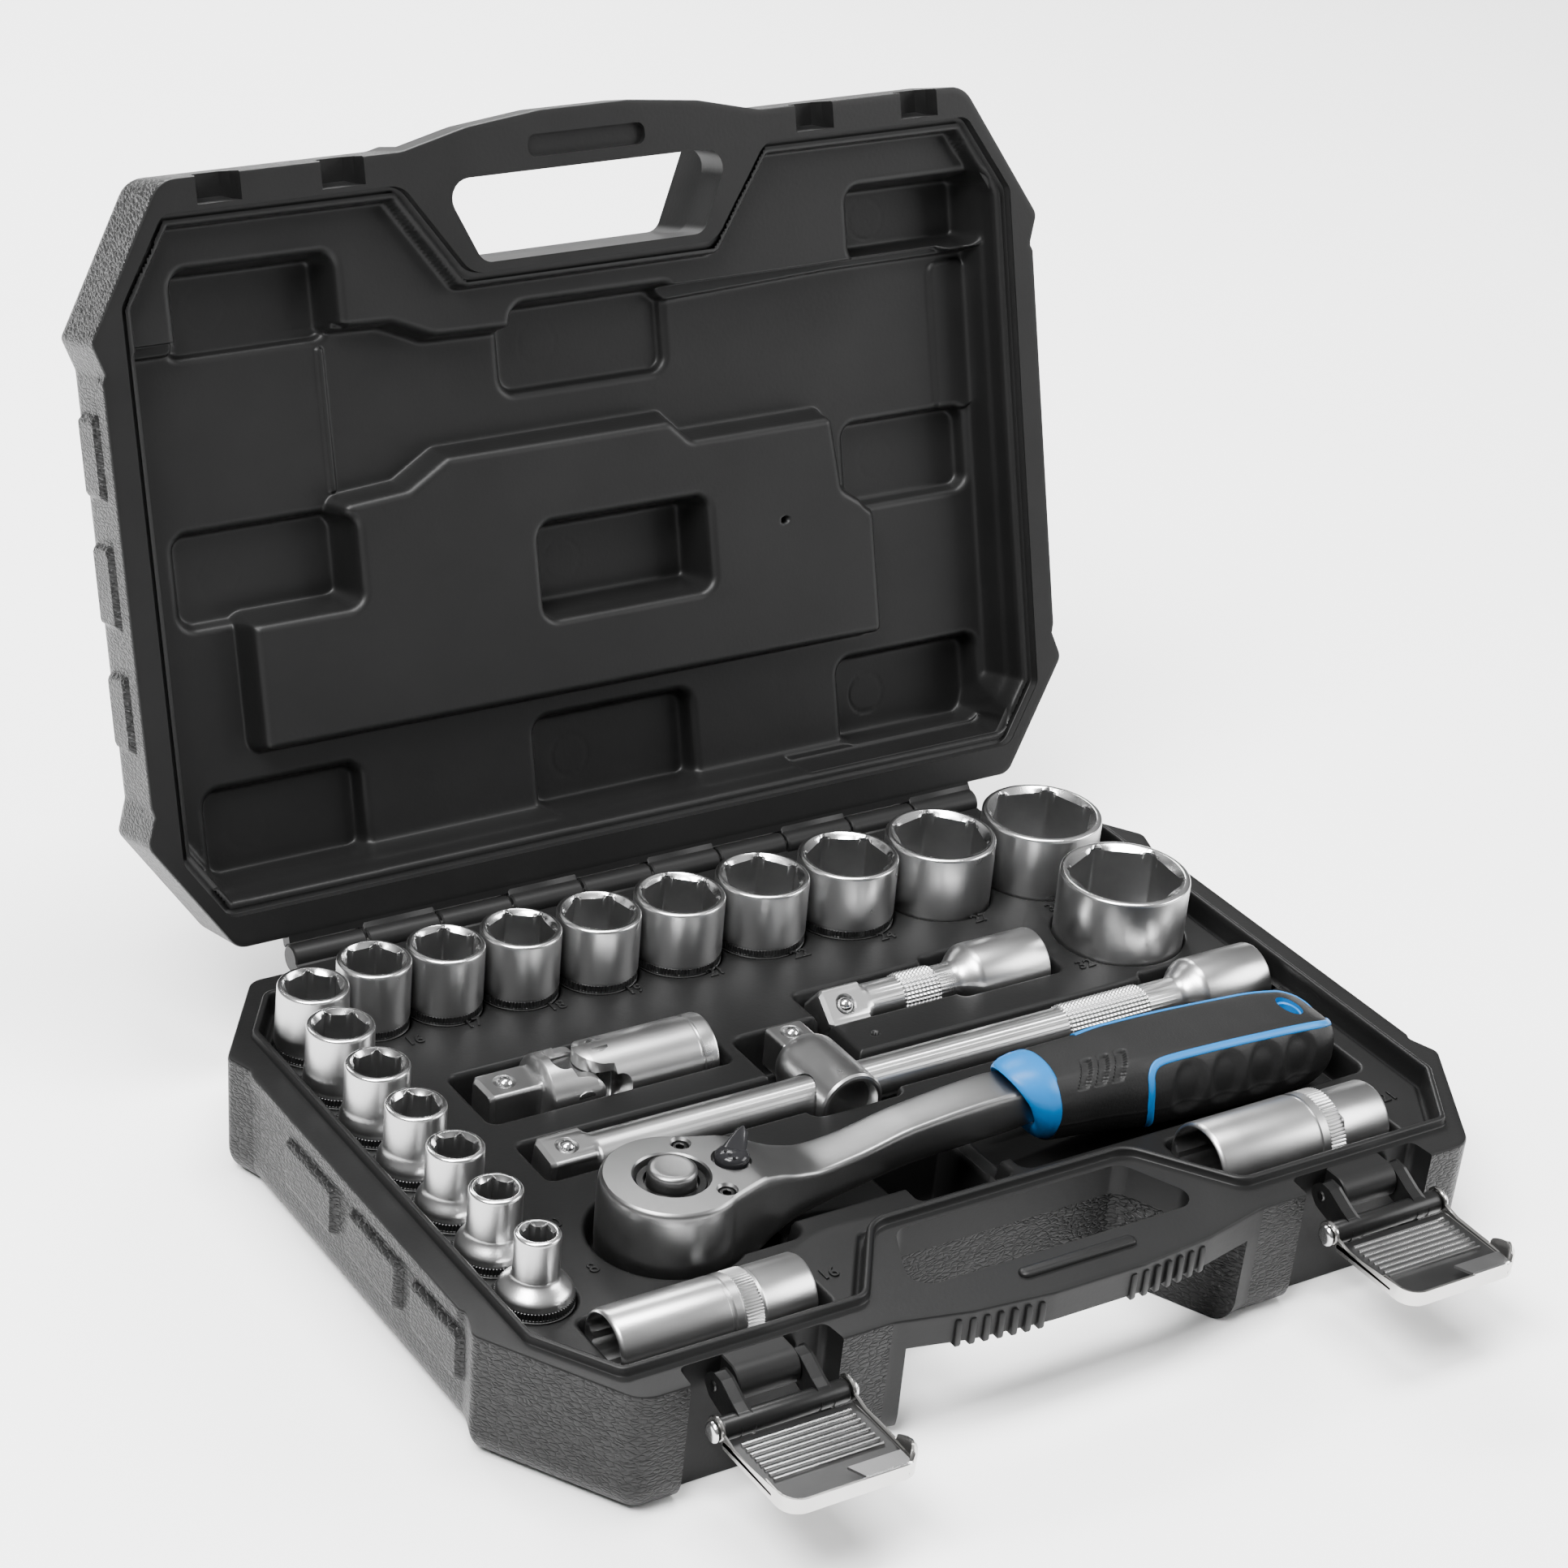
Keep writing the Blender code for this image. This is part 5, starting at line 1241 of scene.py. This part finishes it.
def ratchet_head_and_neck():
    """Level rings round the plan outline, with ruled top and bottom faces that follow the neck."""
    radius = 20.2
    turn = np.radians(np.linspace(180, 58, 56))
    arc = np.column_stack([HEAD_X + radius * np.cos(turn), radius * np.sin(turn)])
    along = np.arange(arc[-1, 0] + 1.0, 34.01, 1.0)
    knots_x, knots_y = [arc[-2, 0], arc[-1, 0]] + NECK_X[1:], [arc[-2, 1], arc[-1, 1]] + NECK_HALF[1:]
    back = np.vstack([arc, np.column_stack([along, curve(along, knots_x, knots_y)])])
    m = len(back)
    outline = np.vstack([back, back[::-1] * (1, -1)])
    ahead, behind = np.roll(outline, -1, 0), np.roll(outline, 1, 0)
    tangent = ahead - behind
    tangent[m - 1] = tangent[m] = (0, -1)
    tangent[0], tangent[-1] = (0, 1), (0, 1)
    length = np.linalg.norm(tangent, axis=1)
    tangent /= np.where(length > 0, length, 1)[:, None]
    normal = np.column_stack([-tangent[:, 1], tangent[:, 0]])
    normal[0] = normal[-1] = (-1, 0)
    levels = [(0.0, 2.2), (0.012, 1.5), (0.04, 0.9), (0.10, 0.35), (0.22, 0.08), (0.42, 0.0), (0.65, 0.03),
        (0.85, 0.12), (0.93, 0.3), (0.965, 0.6), (0.985, 0.95), (1.0, 1.45)]
    top = curve(outline[:, 0], NECK_X, NECK_TOP)
    base = curve(outline[:, 0], NECK_X, NECK_BASE)
    rings = []
    for share, inset in levels:
        q = outline - normal * inset
        q[:, 0] = np.minimum(q[:, 0], 34.0)
        z = base + share * (top - base)
        rings.append(np.column_stack([q[:, 0], q[:, 1] + RATCHET_Y, z]))
    build = Build()
    build.rings(rings, 0, caps=(False, False), flip=True)
    across = 8
    for ring, up in ((rings[0], False), (rings[-1], True)):
        a, b = ring[:m], ring[m:][::-1]
        grid = []
        for k in range(across + 1):
            t = k / across
            row = a + (b - a) * t
            width = np.abs(a[:, 1] - b[:, 1])
            crown = 4 * t * (1 - t) * 0.02 * width * smooth_step(a[:, 0], -66, -52)
            row = row + np.column_stack([0 * crown, 0 * crown, crown if up else -crown])
            grid.append(row)
        faces = []
        for k in range(across):
            for i in range(m - 1):
                q = (k * m + i, (k + 1) * m + i, (k + 1) * m + i + 1, k * m + i + 1)
                faces.append(q if not up else q[::-1])
        build.add(np.vstack(grid), faces)
    body = solid("ratchet_head", build, CHROME_BODY)
    bm = bmesh.new()
    bm.from_mesh(body.data)
    bmesh.ops.remove_doubles(bm, verts=bm.verts, dist=2e-6)
    bmesh.ops.holes_fill(bm, edges=bm.edges)
    bmesh.ops.recalc_face_normals(bm, faces=bm.faces)
    bm.to_mesh(body.data)
    bm.free()
    centre = (HEAD_X, RATCHET_Y)
    tools = [solid("a", turned(shifted(HEAD_TOP, [(-3.5, 10.5), (-0.5, 10.6), (0.6, 11.6)]), centre, "Z"),
        CHROME_BODY)]
    tools.append(solid("b", turned(shifted(HEAD_TOP, [(-2.2, 5.4), (-0.4, 5.6), (1, 6.6)]),
        (SWITCH_X, RATCHET_Y), "Z"), CHROME_BODY))
    for side in ("back", "front"):
        spot = middle(f"ratchet_screw_{side}")
        tools.append(solid("c", turned(shifted(HEAD_TOP, [(-4, 2.45), (-0.8, 2.5), (0.6, 3.5)]), spot[:2],
            "Z"), CHROME_BODY))
    boolean(body, tools)
    fix_normals(body)
    finish_piece(body, "ratchet", "ratchet_body", 30)

    build = turned(shifted(HEAD_BASE, [(-2.2, 16.9), (-1.8, 17.4), (0.4, 17.8)]), centre, "Z")
    build.make("ratchet_cover_plate", [STEEL], "ratchet", "ratchet_base_plate")
    low = node_box("ratchet_spindle")[0]
    n = 144
    square = soft_square(DRIVE, n)
    stations = [(low[2], square * 0.8), (low[2] + 0.1, square * 0.88), (low[2] + 1.2, square),
        (HEAD_BASE - 2.4, square), (HEAD_BASE - 2.3, 9.1), (HEAD_BASE + 0.5, 9.1),
        (HEAD_TOP - 5.0, circle(10.0, n)), (HEAD_TOP - 2.4, 10.0), (HEAD_TOP - 1.9, 9.6),
        (HEAD_TOP - 1.8, 7.8), (HEAD_TOP - 2.4, 7.5), (HEAD_TOP - 3.2, 7.45)]
    build = turned(stations[:7], centre, "Z", 0, (True, False))
    lathe(build, stations[6:], centre, "Z", 1, (False, True)).make("ratchet_drive_spindle",
        [CHROME, DARK_STEEL], "ratchet_spindle", "ratchet_spindle", angle=30)
    top = node_box("quick_release_button")[1][2]
    stations = shifted(top, [(-9.0, 6.9), (-1.4, 6.95), (-0.7, 6.8), (-0.22, 6.35), (-0.03, 5.6),
        (-0.12, 4.6), (-0.2, 2.5)])
    turned(stations, centre, "Z").make("ratchet_button", [CHROME_BODY], "quick_release_button",
        "quick_release_button", angle=40)
    for side in ("back", "front"):
        spot = middle(f"ratchet_screw_{side}")
        n = 96
        hexagon = ngon(6, 1.15, 0.1, n)
        stations = shifted(HEAD_TOP, [(-6, 2.3), (-1.5, 2.3), (-1.1, 2.0), (-1.05, hexagon + 0.15),
            (-1.2, hexagon), (-2.4, hexagon), (-2.4, hexagon * 0.4)])
        turned(stations, spot[:2], "Z").make(f"ratchet_cap_screw_{side}", [DARK_STEEL], "ratchet",
            f"ratchet_screw_{side}", angle=30)


def thumb_lever():
    """The glossy reversing lever: a domed hub and a curved tab that rises to a rounded point."""
    centre = Vector((SWITCH_X, RATCHET_Y))
    build = turned(shifted(HEAD_TOP, [(-2.0, 4.6), (0.3, 4.9), (1.2, 4.8), (2.0, 4.2), (2.5, 3.2),
        (2.7, 1.6)]), tuple(centre), "Z")
    a = radians(40)
    forward, aside = Vector((cos(a), sin(a))), Vector((-sin(a), cos(a)))
    rings = []
    for k in range(13):
        t = k / 12
        along, half = -1.5 + 10.4 * t, 3.7 * (1 - 0.62 * t ** 1.6) * sqrt(max(1 - max(0,
            t - 0.86) ** 2 / 0.021, 0.02))
        low, high = 0.5 + 1.6 * t ** 2, 2.4 + 2.9 * t ** 1.5
        ring = []
        for i in range(24):
            b = tau * i / 24
            u = half * np.sign(cos(b)) * abs(cos(b)) ** 0.6
            v = 0.5 * (low + high) + 0.5 * (high - low) * np.sign(sin(b)) * abs(sin(b)) ** 0.6
            p = centre + forward * along + aside * float(u)
            ring.append((p.x, p.y, HEAD_TOP + float(v)))
        rings.append(ring)
    build.rings(rings, 0)
    for k in range(3):
        lathe(build, [(HEAD_TOP + 2.0, 0.5), (HEAD_TOP + 2.9, 0.45)],
            tuple(centre + forward * (-1.5 - 0.9 * k) + aside * (1.6 - 1.6 * k)), "Z")
    made = build.make("reversing_thumb_lever", [gloss("lever_gloss_black", (0.012, 0.012, 0.013), 0.14)],
        "reversing_lever", "reversing_lever", angle=45)
    fix_normals(made)


GRIP = {
    "x": [30.5, 36.0, 48.0, 62.0, 88.0, 112.0, 126.0, 132.0, 135.5, 137.4, 138.0],
    "up": [6.7, 6.4, 5.8, 4.8, 3.2, 1.8, 1.1, 0.8, 0.6, 0.5, 0.5],
    "half": [13.0, 13.4, 13.9, 15.0, 15.4, 15.2, 14.2, 12.3, 9.6, 6.6, 4.0],
    "tall": [12.4, 12.7, 13.3, 14.5, 15.0, 14.8, 13.6, 11.6, 8.9, 6.0, 3.6],
}


def grip_point(x, theta, lift=0.0):
    """On the grip's surface; theta 90 is up, 180 the front."""
    up, half, tall = (curve(x, GRIP["x"], GRIP[k]) for k in ("up", "half", "tall"))
    c, s = np.cos(theta), np.sin(theta)
    power = 2 / 2.5
    y = (half + lift) * np.sign(c) * np.abs(c) ** power
    z = (tall + lift) * np.sign(s) * np.abs(s) ** power
    z = smin(z, 0.86 * tall + lift, 1.0)
    return x, RATCHET_Y + y, RIM + up + z


def grip():
    xs = np.concatenate([np.arange(30.5, 132.0, 0.6), 138.0 - 6.0 * np.cos(np.linspace(0, pi / 2, 18))])
    theta = tau * np.arange(240) / 240
    gx, gt = np.meshgrid(xs, theta, indexing="ij")
    deg = np.degrees(gt)
    dent = np.zeros_like(gx)
    for x0 in (76.0, 90.0, 104.0, 118.0):
        u, v = (gx - x0) / 7.0, (deg - 170 + 0.12 * (gx - 96)) / 34.0
        dent = np.maximum(dent, 1.4 * smooth_step(1 - u * u - v * v, 0.0, 0.8))
    for x0 in (41.5, 47.5, 53.5):
        lean = 0.12 * (deg - 126)
        u, v = np.abs(gx - x0 + lean) / 1.9, np.abs(deg - 126) / 27.0
        dent = np.maximum(dent, 1.2 * smooth_step(1 - np.maximum(u, v), 0.0, 0.24))
    seam = 0.18 * np.exp(-((deg - 190) / 0.8) ** 2)
    x, y, z = grip_point(gx, gt, 0.0)
    nx, ny, nz = grip_point(gx, gt, 1.0)
    pts = np.stack([x, y + (ny - y) * (seam - dent), z + (nz - z) * (seam - dent)], -1)
    start = [(30.5, RATCHET_Y + 0.86 * (p[1] - RATCHET_Y), RIM + 6.7 + 0.86 * (p[2] - RIM - 6.7))
        for p in pts[0]]
    build = Build().rings(np.concatenate([[start], pts]))
    body = solid("grip_sleeve", build, RUBBER)
    hole = [(124.0 + 3.4 * cos(a), RATCHET_Y + 5.2 * sin(a)) for a in np.linspace(0, tau, 41)[:-1]]
    boolean(body, [solid("h", prism(hole, 20, 70), BLUE)])
    fix_normals(body)
    finish_piece(body, "ratchet", "grip_rubber", 40, weighted=False)
    liner = Build()
    rings = []
    for z, k in ((RIM - 9.5, 0.99), (RIM + 11.2, 0.99), (RIM + 11.5, 0.93), (RIM + 11.2, 0.80),
            (RIM - 9.5, 0.80)):
        rings.append([(124.0 + 3.4 * k * cos(a), RATCHET_Y + 5.2 * k * sin(a), z)
            for a in np.linspace(0, tau, 41)[:-1]])
    liner.rings(rings, 0, torus=True)
    fix_normals(liner.make("grip_hanging_hole_liner", [BLUE], "ratchet"))
    near = [(66.0, 232), (64.4, 215), (62.9, 195), (62.0, 175), (61.8, 158), (62.8, 146), (65.5, 138),
        (70, 135.5), (82, 134), (100, 133), (117, 133), (127, 133), (132, 131), (135.2, 124), (136.9, 108),
        (137.2, 90), (136.9, 72), (135.2, 56), (132, 49), (127, 47), (117, 47), (100, 47), (82, 47),
        (66, 48), (56, 49), (50, 51)]
    ribbon("grip_blue_stripe", near, 2.4)
    collar()


def ribbon(name, path, width):
    """A raised strip along a path of (x, angle) over the grip."""
    p = np.array(path, float)
    t = np.linspace(0, len(p) - 1, 12 * len(p))
    xs, deg = curve(t, range(len(p)), p[:, 0]), curve(t, range(len(p)), p[:, 1])
    centre = np.stack(grip_point(xs, np.radians(deg)), 1)
    over = np.stack(grip_point(xs, np.radians(deg), 1.0), 1)
    tip = smooth_step(xs, 132, 137)
    normal = over - centre + np.column_stack([tip, 0 * tip, 0 * tip])
    normal /= np.linalg.norm(normal, axis=1)[:, None]
    tangent = np.gradient(centre, axis=0)
    tangent /= np.linalg.norm(tangent, axis=1)[:, None]
    side = np.cross(tangent, normal)
    rings = []
    for c, m, s in zip(centre, normal, side):
        shape = [(-0.5, -0.8), (-0.5, 0.05), (-0.38, 0.3), (-0.15, 0.42), (0.15, 0.42), (0.38, 0.3),
            (0.5, 0.05), (0.5, -0.8)]
        rings.append([c + s * width * u + m * v for u, v in shape])
    build = Build().rings(rings, 0)
    fix_normals(build.make(name, [BLUE], "ratchet", angle=60))


def collar():
    """The blue hood where the neck enters the grip: its top reaches furthest over the neck."""
    theta = tau * np.arange(160) / 160
    s = np.sin(theta)
    power = 2 / 2.2
    def ring(x_top, x_low, half, tall, up):
        x = x_low + (x_top - x_low) * (0.5 + 0.5 * s) ** 1.2
        y = half * np.sign(np.cos(theta)) * np.abs(np.cos(theta)) ** power
        z = tall * np.sign(s) * np.abs(s) ** power
        return np.column_stack([x, RATCHET_Y + y, RIM + up + z])
    rings = [ring(31.5, 31.5, 12.2, 11.6, 6.7), ring(31.2, 31.2, 13.0, 12.4, 6.8),
        ring(30.0, 30.6, 13.3, 12.7, 7.0), ring(26.0, 29.0, 12.9, 12.4, 7.4),
        ring(22.0, 28.0, 12.0, 11.6, 7.8), ring(19.4, 27.3, 10.9, 10.6, 8.0),
        ring(18.0, 27.0, 10.1, 9.8, 8.1), ring(17.8, 27.0, 9.6, 9.2, 8.1), ring(18.6, 27.2, 8.9, 8.5, 8.1),
        ring(22.0, 28.2, 7.6, 7.2, 8.0), ring(28.0, 30.5, 6.6, 6.0, 7.6)]
    build = Build().rings(rings, 0, flip=True)
    made = build.make("grip_blue_collar", [BLUE], "ratchet", "grip_core", angle=50)
    fix_normals(made)


# ---------------- latches

LINK_PIVOT, LEVER_PIVOT = (-110.0, RIM - 5.5), (-121.8, RIM - 9.7)


def prism_x(outline, x0, x1, chamfer=0.0):
    rings = []
    for x, inset in ((x0, chamfer), (x0 + chamfer, 0.0), (x1 - chamfer, 0.0),
            (x1, chamfer)) if chamfer else ((x0, 0), (x1, 0)):
        rings.append([(x, y, z) for y, z in (offset(outline, inset) if inset else outline)])
    return Build().rings(rings)


def latch(side, centre):
    link_body, lever_body = f"latch_{side}_link", f"latch_{side}_lever"
    (y0, z0), (y1, z1) = LINK_PIVOT, LEVER_PIVOT
    arm = [(y0 + 3.6, z0 + 1.0), (y0 + 1.0, z0 + 3.6), (y0 - 2.6, z0 + 3.2), (y1 + 3.0, z1 + 4.2),
        (y1 - 0.5, z1 + 2.9), (y1 - 3.0, z1 + 0.6), (y1 - 2.4, z1 - 2.4), (y1 + 1.6, z1 - 3.0),
        (y0 + 1.4, z0 - 3.6), (y0 + 3.6, z0 - 1.2)][::-1]
    arm = rounded(arm, 1.3, 4)
    link = Build()
    for x0, x1 in ((centre - 14.2, centre - 10.0), (centre + 10.0, centre + 14.2)):
        part = prism_x(arm, x0, x1, 0.5)
        link.add(part.points(), part.faces)
    lathe(link, shifted(centre, [(-19.6, 2.4), (-19.2, 3.0), (-18.6, 3.2), (18.6, 3.2), (19.2, 3.0),
        (19.6, 2.4)]), (y1, z1), "X")
    fix_normals(link.make(f"latch_{side}_swing_link", [LINK_PLASTIC], link_body, f"latch_{side}_link",
        angle=38))
    # the boss pin takes the near-black nickel as well
    turned(shifted(centre, [(-14.6, 1.2), (-14.3, 1.6), (14.3, 1.6), (14.6, 1.2)]), (y0, z0),
        "X").make(f"latch_{side}_boss_pin", [NICKEL_PAINTED_DARK], link_body, f"latch_{side}_link_pin")
    stations = []
    for s in (-1, 1):
        head = [(centre + s * 22.3, 1.2), (centre + s * 22.25, 1.9), (centre + s * 22.05, 2.5),
            (centre + s * 21.7, 2.9), (centre + s * 21.2, 3.0), (centre + s * 20.95, 2.8),
            (centre + s * 20.9, 1.5)]
        stations += head if s < 0 else head[::-1]
    turned(stations, (y1, z1), "X").make(f"latch_{side}_headed_pin", [NICKEL_EDGE], lever_body,
        f"latch_{side}_lever_pin", angle=40)
    lever(side, centre, lever_body)


def lever(side, centre, body):
    """Pressed nickel sheet, open: raised rim, cross ribs, folded tab and a curled ear that hooks the lid."""
    y1, z1 = LEVER_PIVOT
    low, near, tip, half = z1 - 2.4, y1 - 4.0, y1 - 35.5, 20.6
    xs = np.linspace(-half, half, 200)
    ys = np.linspace(tip, near, 170)
    gx, gy = np.meshgrid(xs, ys, indexing="ij")

    def rim_height(x, y):
        left = smooth_step(tip + 11.8 - y, -0.15, 0.15) * (x < 0)
        right = smooth_step(tip + 5.0 - y, 0.0, 3.0) * (x >= 0)
        return 1.9 + 2.2 * (left + right)

    inside = box_distance(gx, gy, -half, half, tip, near + 20, 6.0)
    wall = smooth_step(inside, -1.15, -0.8)
    height = 1.1 + (rim_height(gx, gy) - 1.1) * wall
    keep = inside < 0.03
    top_v, top_f = sheet_mesh(xs, ys, low + height, keep)
    low_v, low_f = sheet_mesh(xs, ys, low + 0.1 - 0.5 * smooth_step(inside, -2.5, 0.0), keep)
    build = Build()
    build.add(top_v, top_f, 1).add(low_v, [f[::-1] for f in low_f])
    x, y, _ = np.transpose(top_v[np.array(top_f)].mean(1))
    in_wall = box_distance(x, y, -half, half, tip, near + 20, 6.0) > -1.3
    # the pan's inner faces take the near-black nickel as a painted dark reflection; the rim walls keep the
    # plain nickel
    build.mats[:len(top_f)] = np.where(in_wall, 0, 1).tolist()
    for k in range(8):
        y = near - 3.0 - 2.2 * k
        section = [(y + 0.5, low + 1.0), (y + 0.28, low + 1.8), (y - 0.28, low + 1.8), (y - 0.5, low + 1.0)]
        build.rings([[(x, b, c) for b, c in section] for x in (-16.7, 16.7)], 3)
    tab = [(0.8, tip + 6.4), (3.4, tip + 0.5), (17.0, tip + 0.5), (17.0, tip + 6.4)]
    build.rings([at_z(tab, low + 3.3), at_z(tab, low + 4.1)], 2)
    lip = [(3.2, tip + 0.2), (17.0, tip + 0.2), (17.0, tip + 1.0), (2.9, tip + 1.0)]
    build.rings([at_z(lip, low + 3.2), at_z(lip, low + 4.3)], 3)
    edge_of = [(-half, near), (-half, tip + 6.0)]
    edge_of += [(-half + 6 - 6 * cos(t), tip + 6 - 6 * sin(t)) for t in np.linspace(0, pi / 2, 14)[1:]]
    edge_of += [(-half + 6 + (2 * half - 12) * k / 10, tip) for k in range(1, 10)]
    edge_of += [(half - 6 + 6 * sin(t), tip + 6 - 6 * cos(t))
        for t in np.linspace(0, pi / 2, 14)] + [(half, near)]
    skirt = []
    for p in edge_of:
        top = low + float(rim_height(np.array(p[0]), np.array(p[1])))
        skirt.append([(p[0], p[1], low - 0.4), (p[0], p[1], top)])
    start = len(skirt)
    verts = [v for pair in skirt for v in pair]
    build.add(verts, [(2 * k, 2 * k + 2, 2 * k + 3, 2 * k + 1) for k in range(start - 1)])

    ear = []
    outline = [(half, tip + 13.0 - 1.4 * k, 1, 0) for k in range(5)]
    outline += [(half - 6 + 6 * cos(t), tip + 6 - 6 * sin(t), cos(t), -sin(t))
        for t in np.radians(np.linspace(0, 78, 12))]
    for k, (ex, ey, nx, ny) in enumerate(outline):
        t = k / (len(outline) - 1)
        tall = 2.2 + 5.6 * sin(pi * t) ** 0.55
        shape = [(0.0, 0.6), (0.15, 0.5 * tall), (0.0, 0.78 * tall), (-0.9 * (tall / 6.8), tall - 0.15),
            (-1.5 * (tall / 6.8), tall), (-1.5 * (tall / 6.8), tall - 0.8), (-0.75, 0.72 * tall),
            (-0.7, 0.5 * tall), (-0.9, 0.6)]
        ear.append([(ex + nx * o, ey + ny * o, low + z) for o, z in shape])
    build.rings(ear, 0)
    flange = [(y1 + 4.2 * cos(t), z1 + 4.2 * sin(t)) for t in np.radians(np.linspace(-55, 165, 20))]
    flange += [(y1 - 9.0, low + 2.3), (tip + 8.0, low + 2.0), (tip + 8.0, low + 0.7), (y1 - 2.0, low + 0.4)]
    for x0, x1 in ((-half, -half + 1.1), (half - 1.1, half)):
        part = prism_x(flange, x0, x1, 0.3)
        build.add(part.points(), part.faces)
    points = build.points()
    points[:, 0] += centre
    build.verts = [points]
    fix_normals(build.make(f"latch_{side}_pull_lever", [NICKEL, NICKEL_PAINTED_DARK, CHROME_BODY, NICKEL_EDGE],
        body, f"latch_{side}_lever", angle=40))


# ---------------- small marks

LABELS = [("8", -118.9, -53.1), ("10", -118.9, -30.3), ("11", -118.9, -7.6), ("12", -118.9, 15.2),
    ("13", -119.3, 38.0), ("14", -119.4, 60.0), ("15", -124.5, 63.6), ("16", -109.0, 69.0),
    ("16", -62.7, -82.8), ("21", 138.1, -79.1), ("27", 86.7, 59.4), ("24", 52.9, 62.4), ("22", 22.1, 64.3),
    ("21", -7.5, 65.9), ("19", -35.5, 67.1), ("18", -61.6, 68.6), ("17", -88.7, 70.4), ("30", 113.0, 55.5),
    ("32", 100.5, 22.0),]


def deck_labels():
    """Size numbers moulded on the deck beside their sockets."""
    for index, (text, x, y) in enumerate(LABELS):
        data = bpy.data.curves.new(f"deck_number_{index}", "FONT")
        data.body, data.size, data.extrude = text, 6.0 * MM, 0.22 * MM
        data.bevel_depth = 0.12 * MM
        data.align_x, data.align_y = "CENTER", "CENTER"
        source = put("number", data)
        bpy.context.view_layer.update()
        mesh = bpy.data.meshes.new_from_object(source)
        bpy.data.objects.remove(source)
        made = put(f"deck_number_{index}_{text}", mesh)
        mesh.transform(Matrix.Translation((x * MM, y * MM, (DECK + 0.16) * MM)))
        mesh.materials.clear()
        mesh.materials.append(SMOOTH)
        join_body(made, "case_tray")


def stage_and_light():
    """Camera at the photograph's viewing angle, pale floor, soft studio light."""
    az, el, roll = radians(-34.842), radians(27.684), radians(5.387)
    back = Vector((sin(az) * cos(el), -cos(az) * cos(el), sin(el)))
    right = Vector((0, 0, 1)).cross(back).normalized()
    up = back.cross(right)
    x = cos(roll) * right + sin(roll) * up
    y = -sin(roll) * right + cos(roll) * up
    camera = put("camera", bpy.data.cameras.new("camera"))
    camera.data.lens, camera.data.sensor_width = 88.59, 36.0
    camera.data.clip_start, camera.data.clip_end = 0.05, 50.0
    camera.matrix_world = Matrix(((x.x, y.x, back.x, -0.5744), (x.y, y.y, back.y, -0.7752),
        (x.z, y.z, back.z, 0.6338), (0, 0, 0, 1)))
    bpy.context.scene.camera = camera

    floor_mesh = bpy.data.meshes.new("floor")
    floor_mesh.from_pydata([(-7, -7, 0), (7, -7, 0), (7, 7, 0), (-7, 7, 0)], [], [(0, 1, 2, 3)])
    floor = put("floor", floor_mesh)
    floor.location.z = -0.0003
    n = Nodes("pale_floor")
    n.colour(n.ramp(n.noise(3.0), [(0.3, 0.95), (0.7, 0.97)]))
    n.set(rough=0.85, specular=0.2)
    floor_mesh.materials.append(n.mat)

    def area(name, at, aim, size, power, size_y=None, tint=(1, 1, 1)):
        data = bpy.data.lights.new(name, "AREA")
        data.energy, data.size, data.color = power, size, tint
        if size_y:
            data.shape, data.size_y = "RECTANGLE", size_y
        lamp = put(name, data)
        lamp.location = at
        lamp.rotation_euler = (Vector(aim) - Vector(at)).to_track_quat("-Z", "Y").to_euler()

    area("key", (-0.9, -0.35, 1.5), (0, 0, 0.05), 0.9, 78, 0.7)
    area("fill", (1.5, -0.8, 0.9), (0, 0, 0.05), 1.1, 32, 0.8)
    area("back", (0.2, 1.6, 1.3), (0, 0, 0.1), 1.4, 70, 0.6)
    area("top", (0.1, 0.0, 2.0), (0, 0, 0), 0.6, 68, 1.2)
    world = bpy.data.worlds.new("studio")
    bpy.context.scene.world = world
    world.use_nodes = True
    tree = world.node_tree
    place = tree.nodes.new("ShaderNodeTexCoord")
    split = tree.nodes.new("ShaderNodeSeparateXYZ")
    ramp = tree.nodes.new("ShaderNodeValToRGB")
    half = tree.nodes.new("ShaderNodeMath")
    half.operation = "MULTIPLY_ADD"
    half.inputs[1].default_value, half.inputs[2].default_value = 0.5, 0.5
    tree.links.new(place.outputs["Generated"], split.inputs[0])
    tree.links.new(split.outputs["Z"], half.inputs[0])
    tree.links.new(half.outputs[0], ramp.inputs[0])
    elements = ramp.color_ramp.elements
    elements[0].position, elements[0].color = 0.0, (0.9, 0.9, 0.9, 1)
    elements[1].position, elements[1].color = 1.0, (1.0, 1.0, 1.0, 1)
    for at, grey in ((0.48, 0.5), (0.56, 0.22), (0.72, 0.45), (0.86, 0.9)):
        e = elements.new(at)
        e.color = (grey, grey, grey, 1)
    tree.links.new(ramp.outputs[0], tree.nodes["Background"].inputs[0])
    tree.nodes["Background"].inputs[1].default_value = 0.5


stage_and_light()
for number in SIZES:
    socket(number)
tray()
lid()
bar("long_bar", "long_extension", "long_extension", -106.0, 148.0, LONG_Y, (74.0, 104.0), 116.0, 8.0)
bar("short_bar", "short_extension", "short_extension", 9.5, 89.5, SHORT_Y, (38.0, 51.0), 57.0, 40.0)
for number in (16, 21):
    plug(number)
sliding_t_head()
universal_joint()
ratchet_head_and_neck()
thumb_lever()
grip()
latch("left", -LATCH_X)
latch("right", LATCH_X)
deck_labels()
for node, finish in (("hinge_pin", NICKEL), ("ratchet_pawl", STEEL)):
    bpy.data.objects[node].data.materials[0] = finish
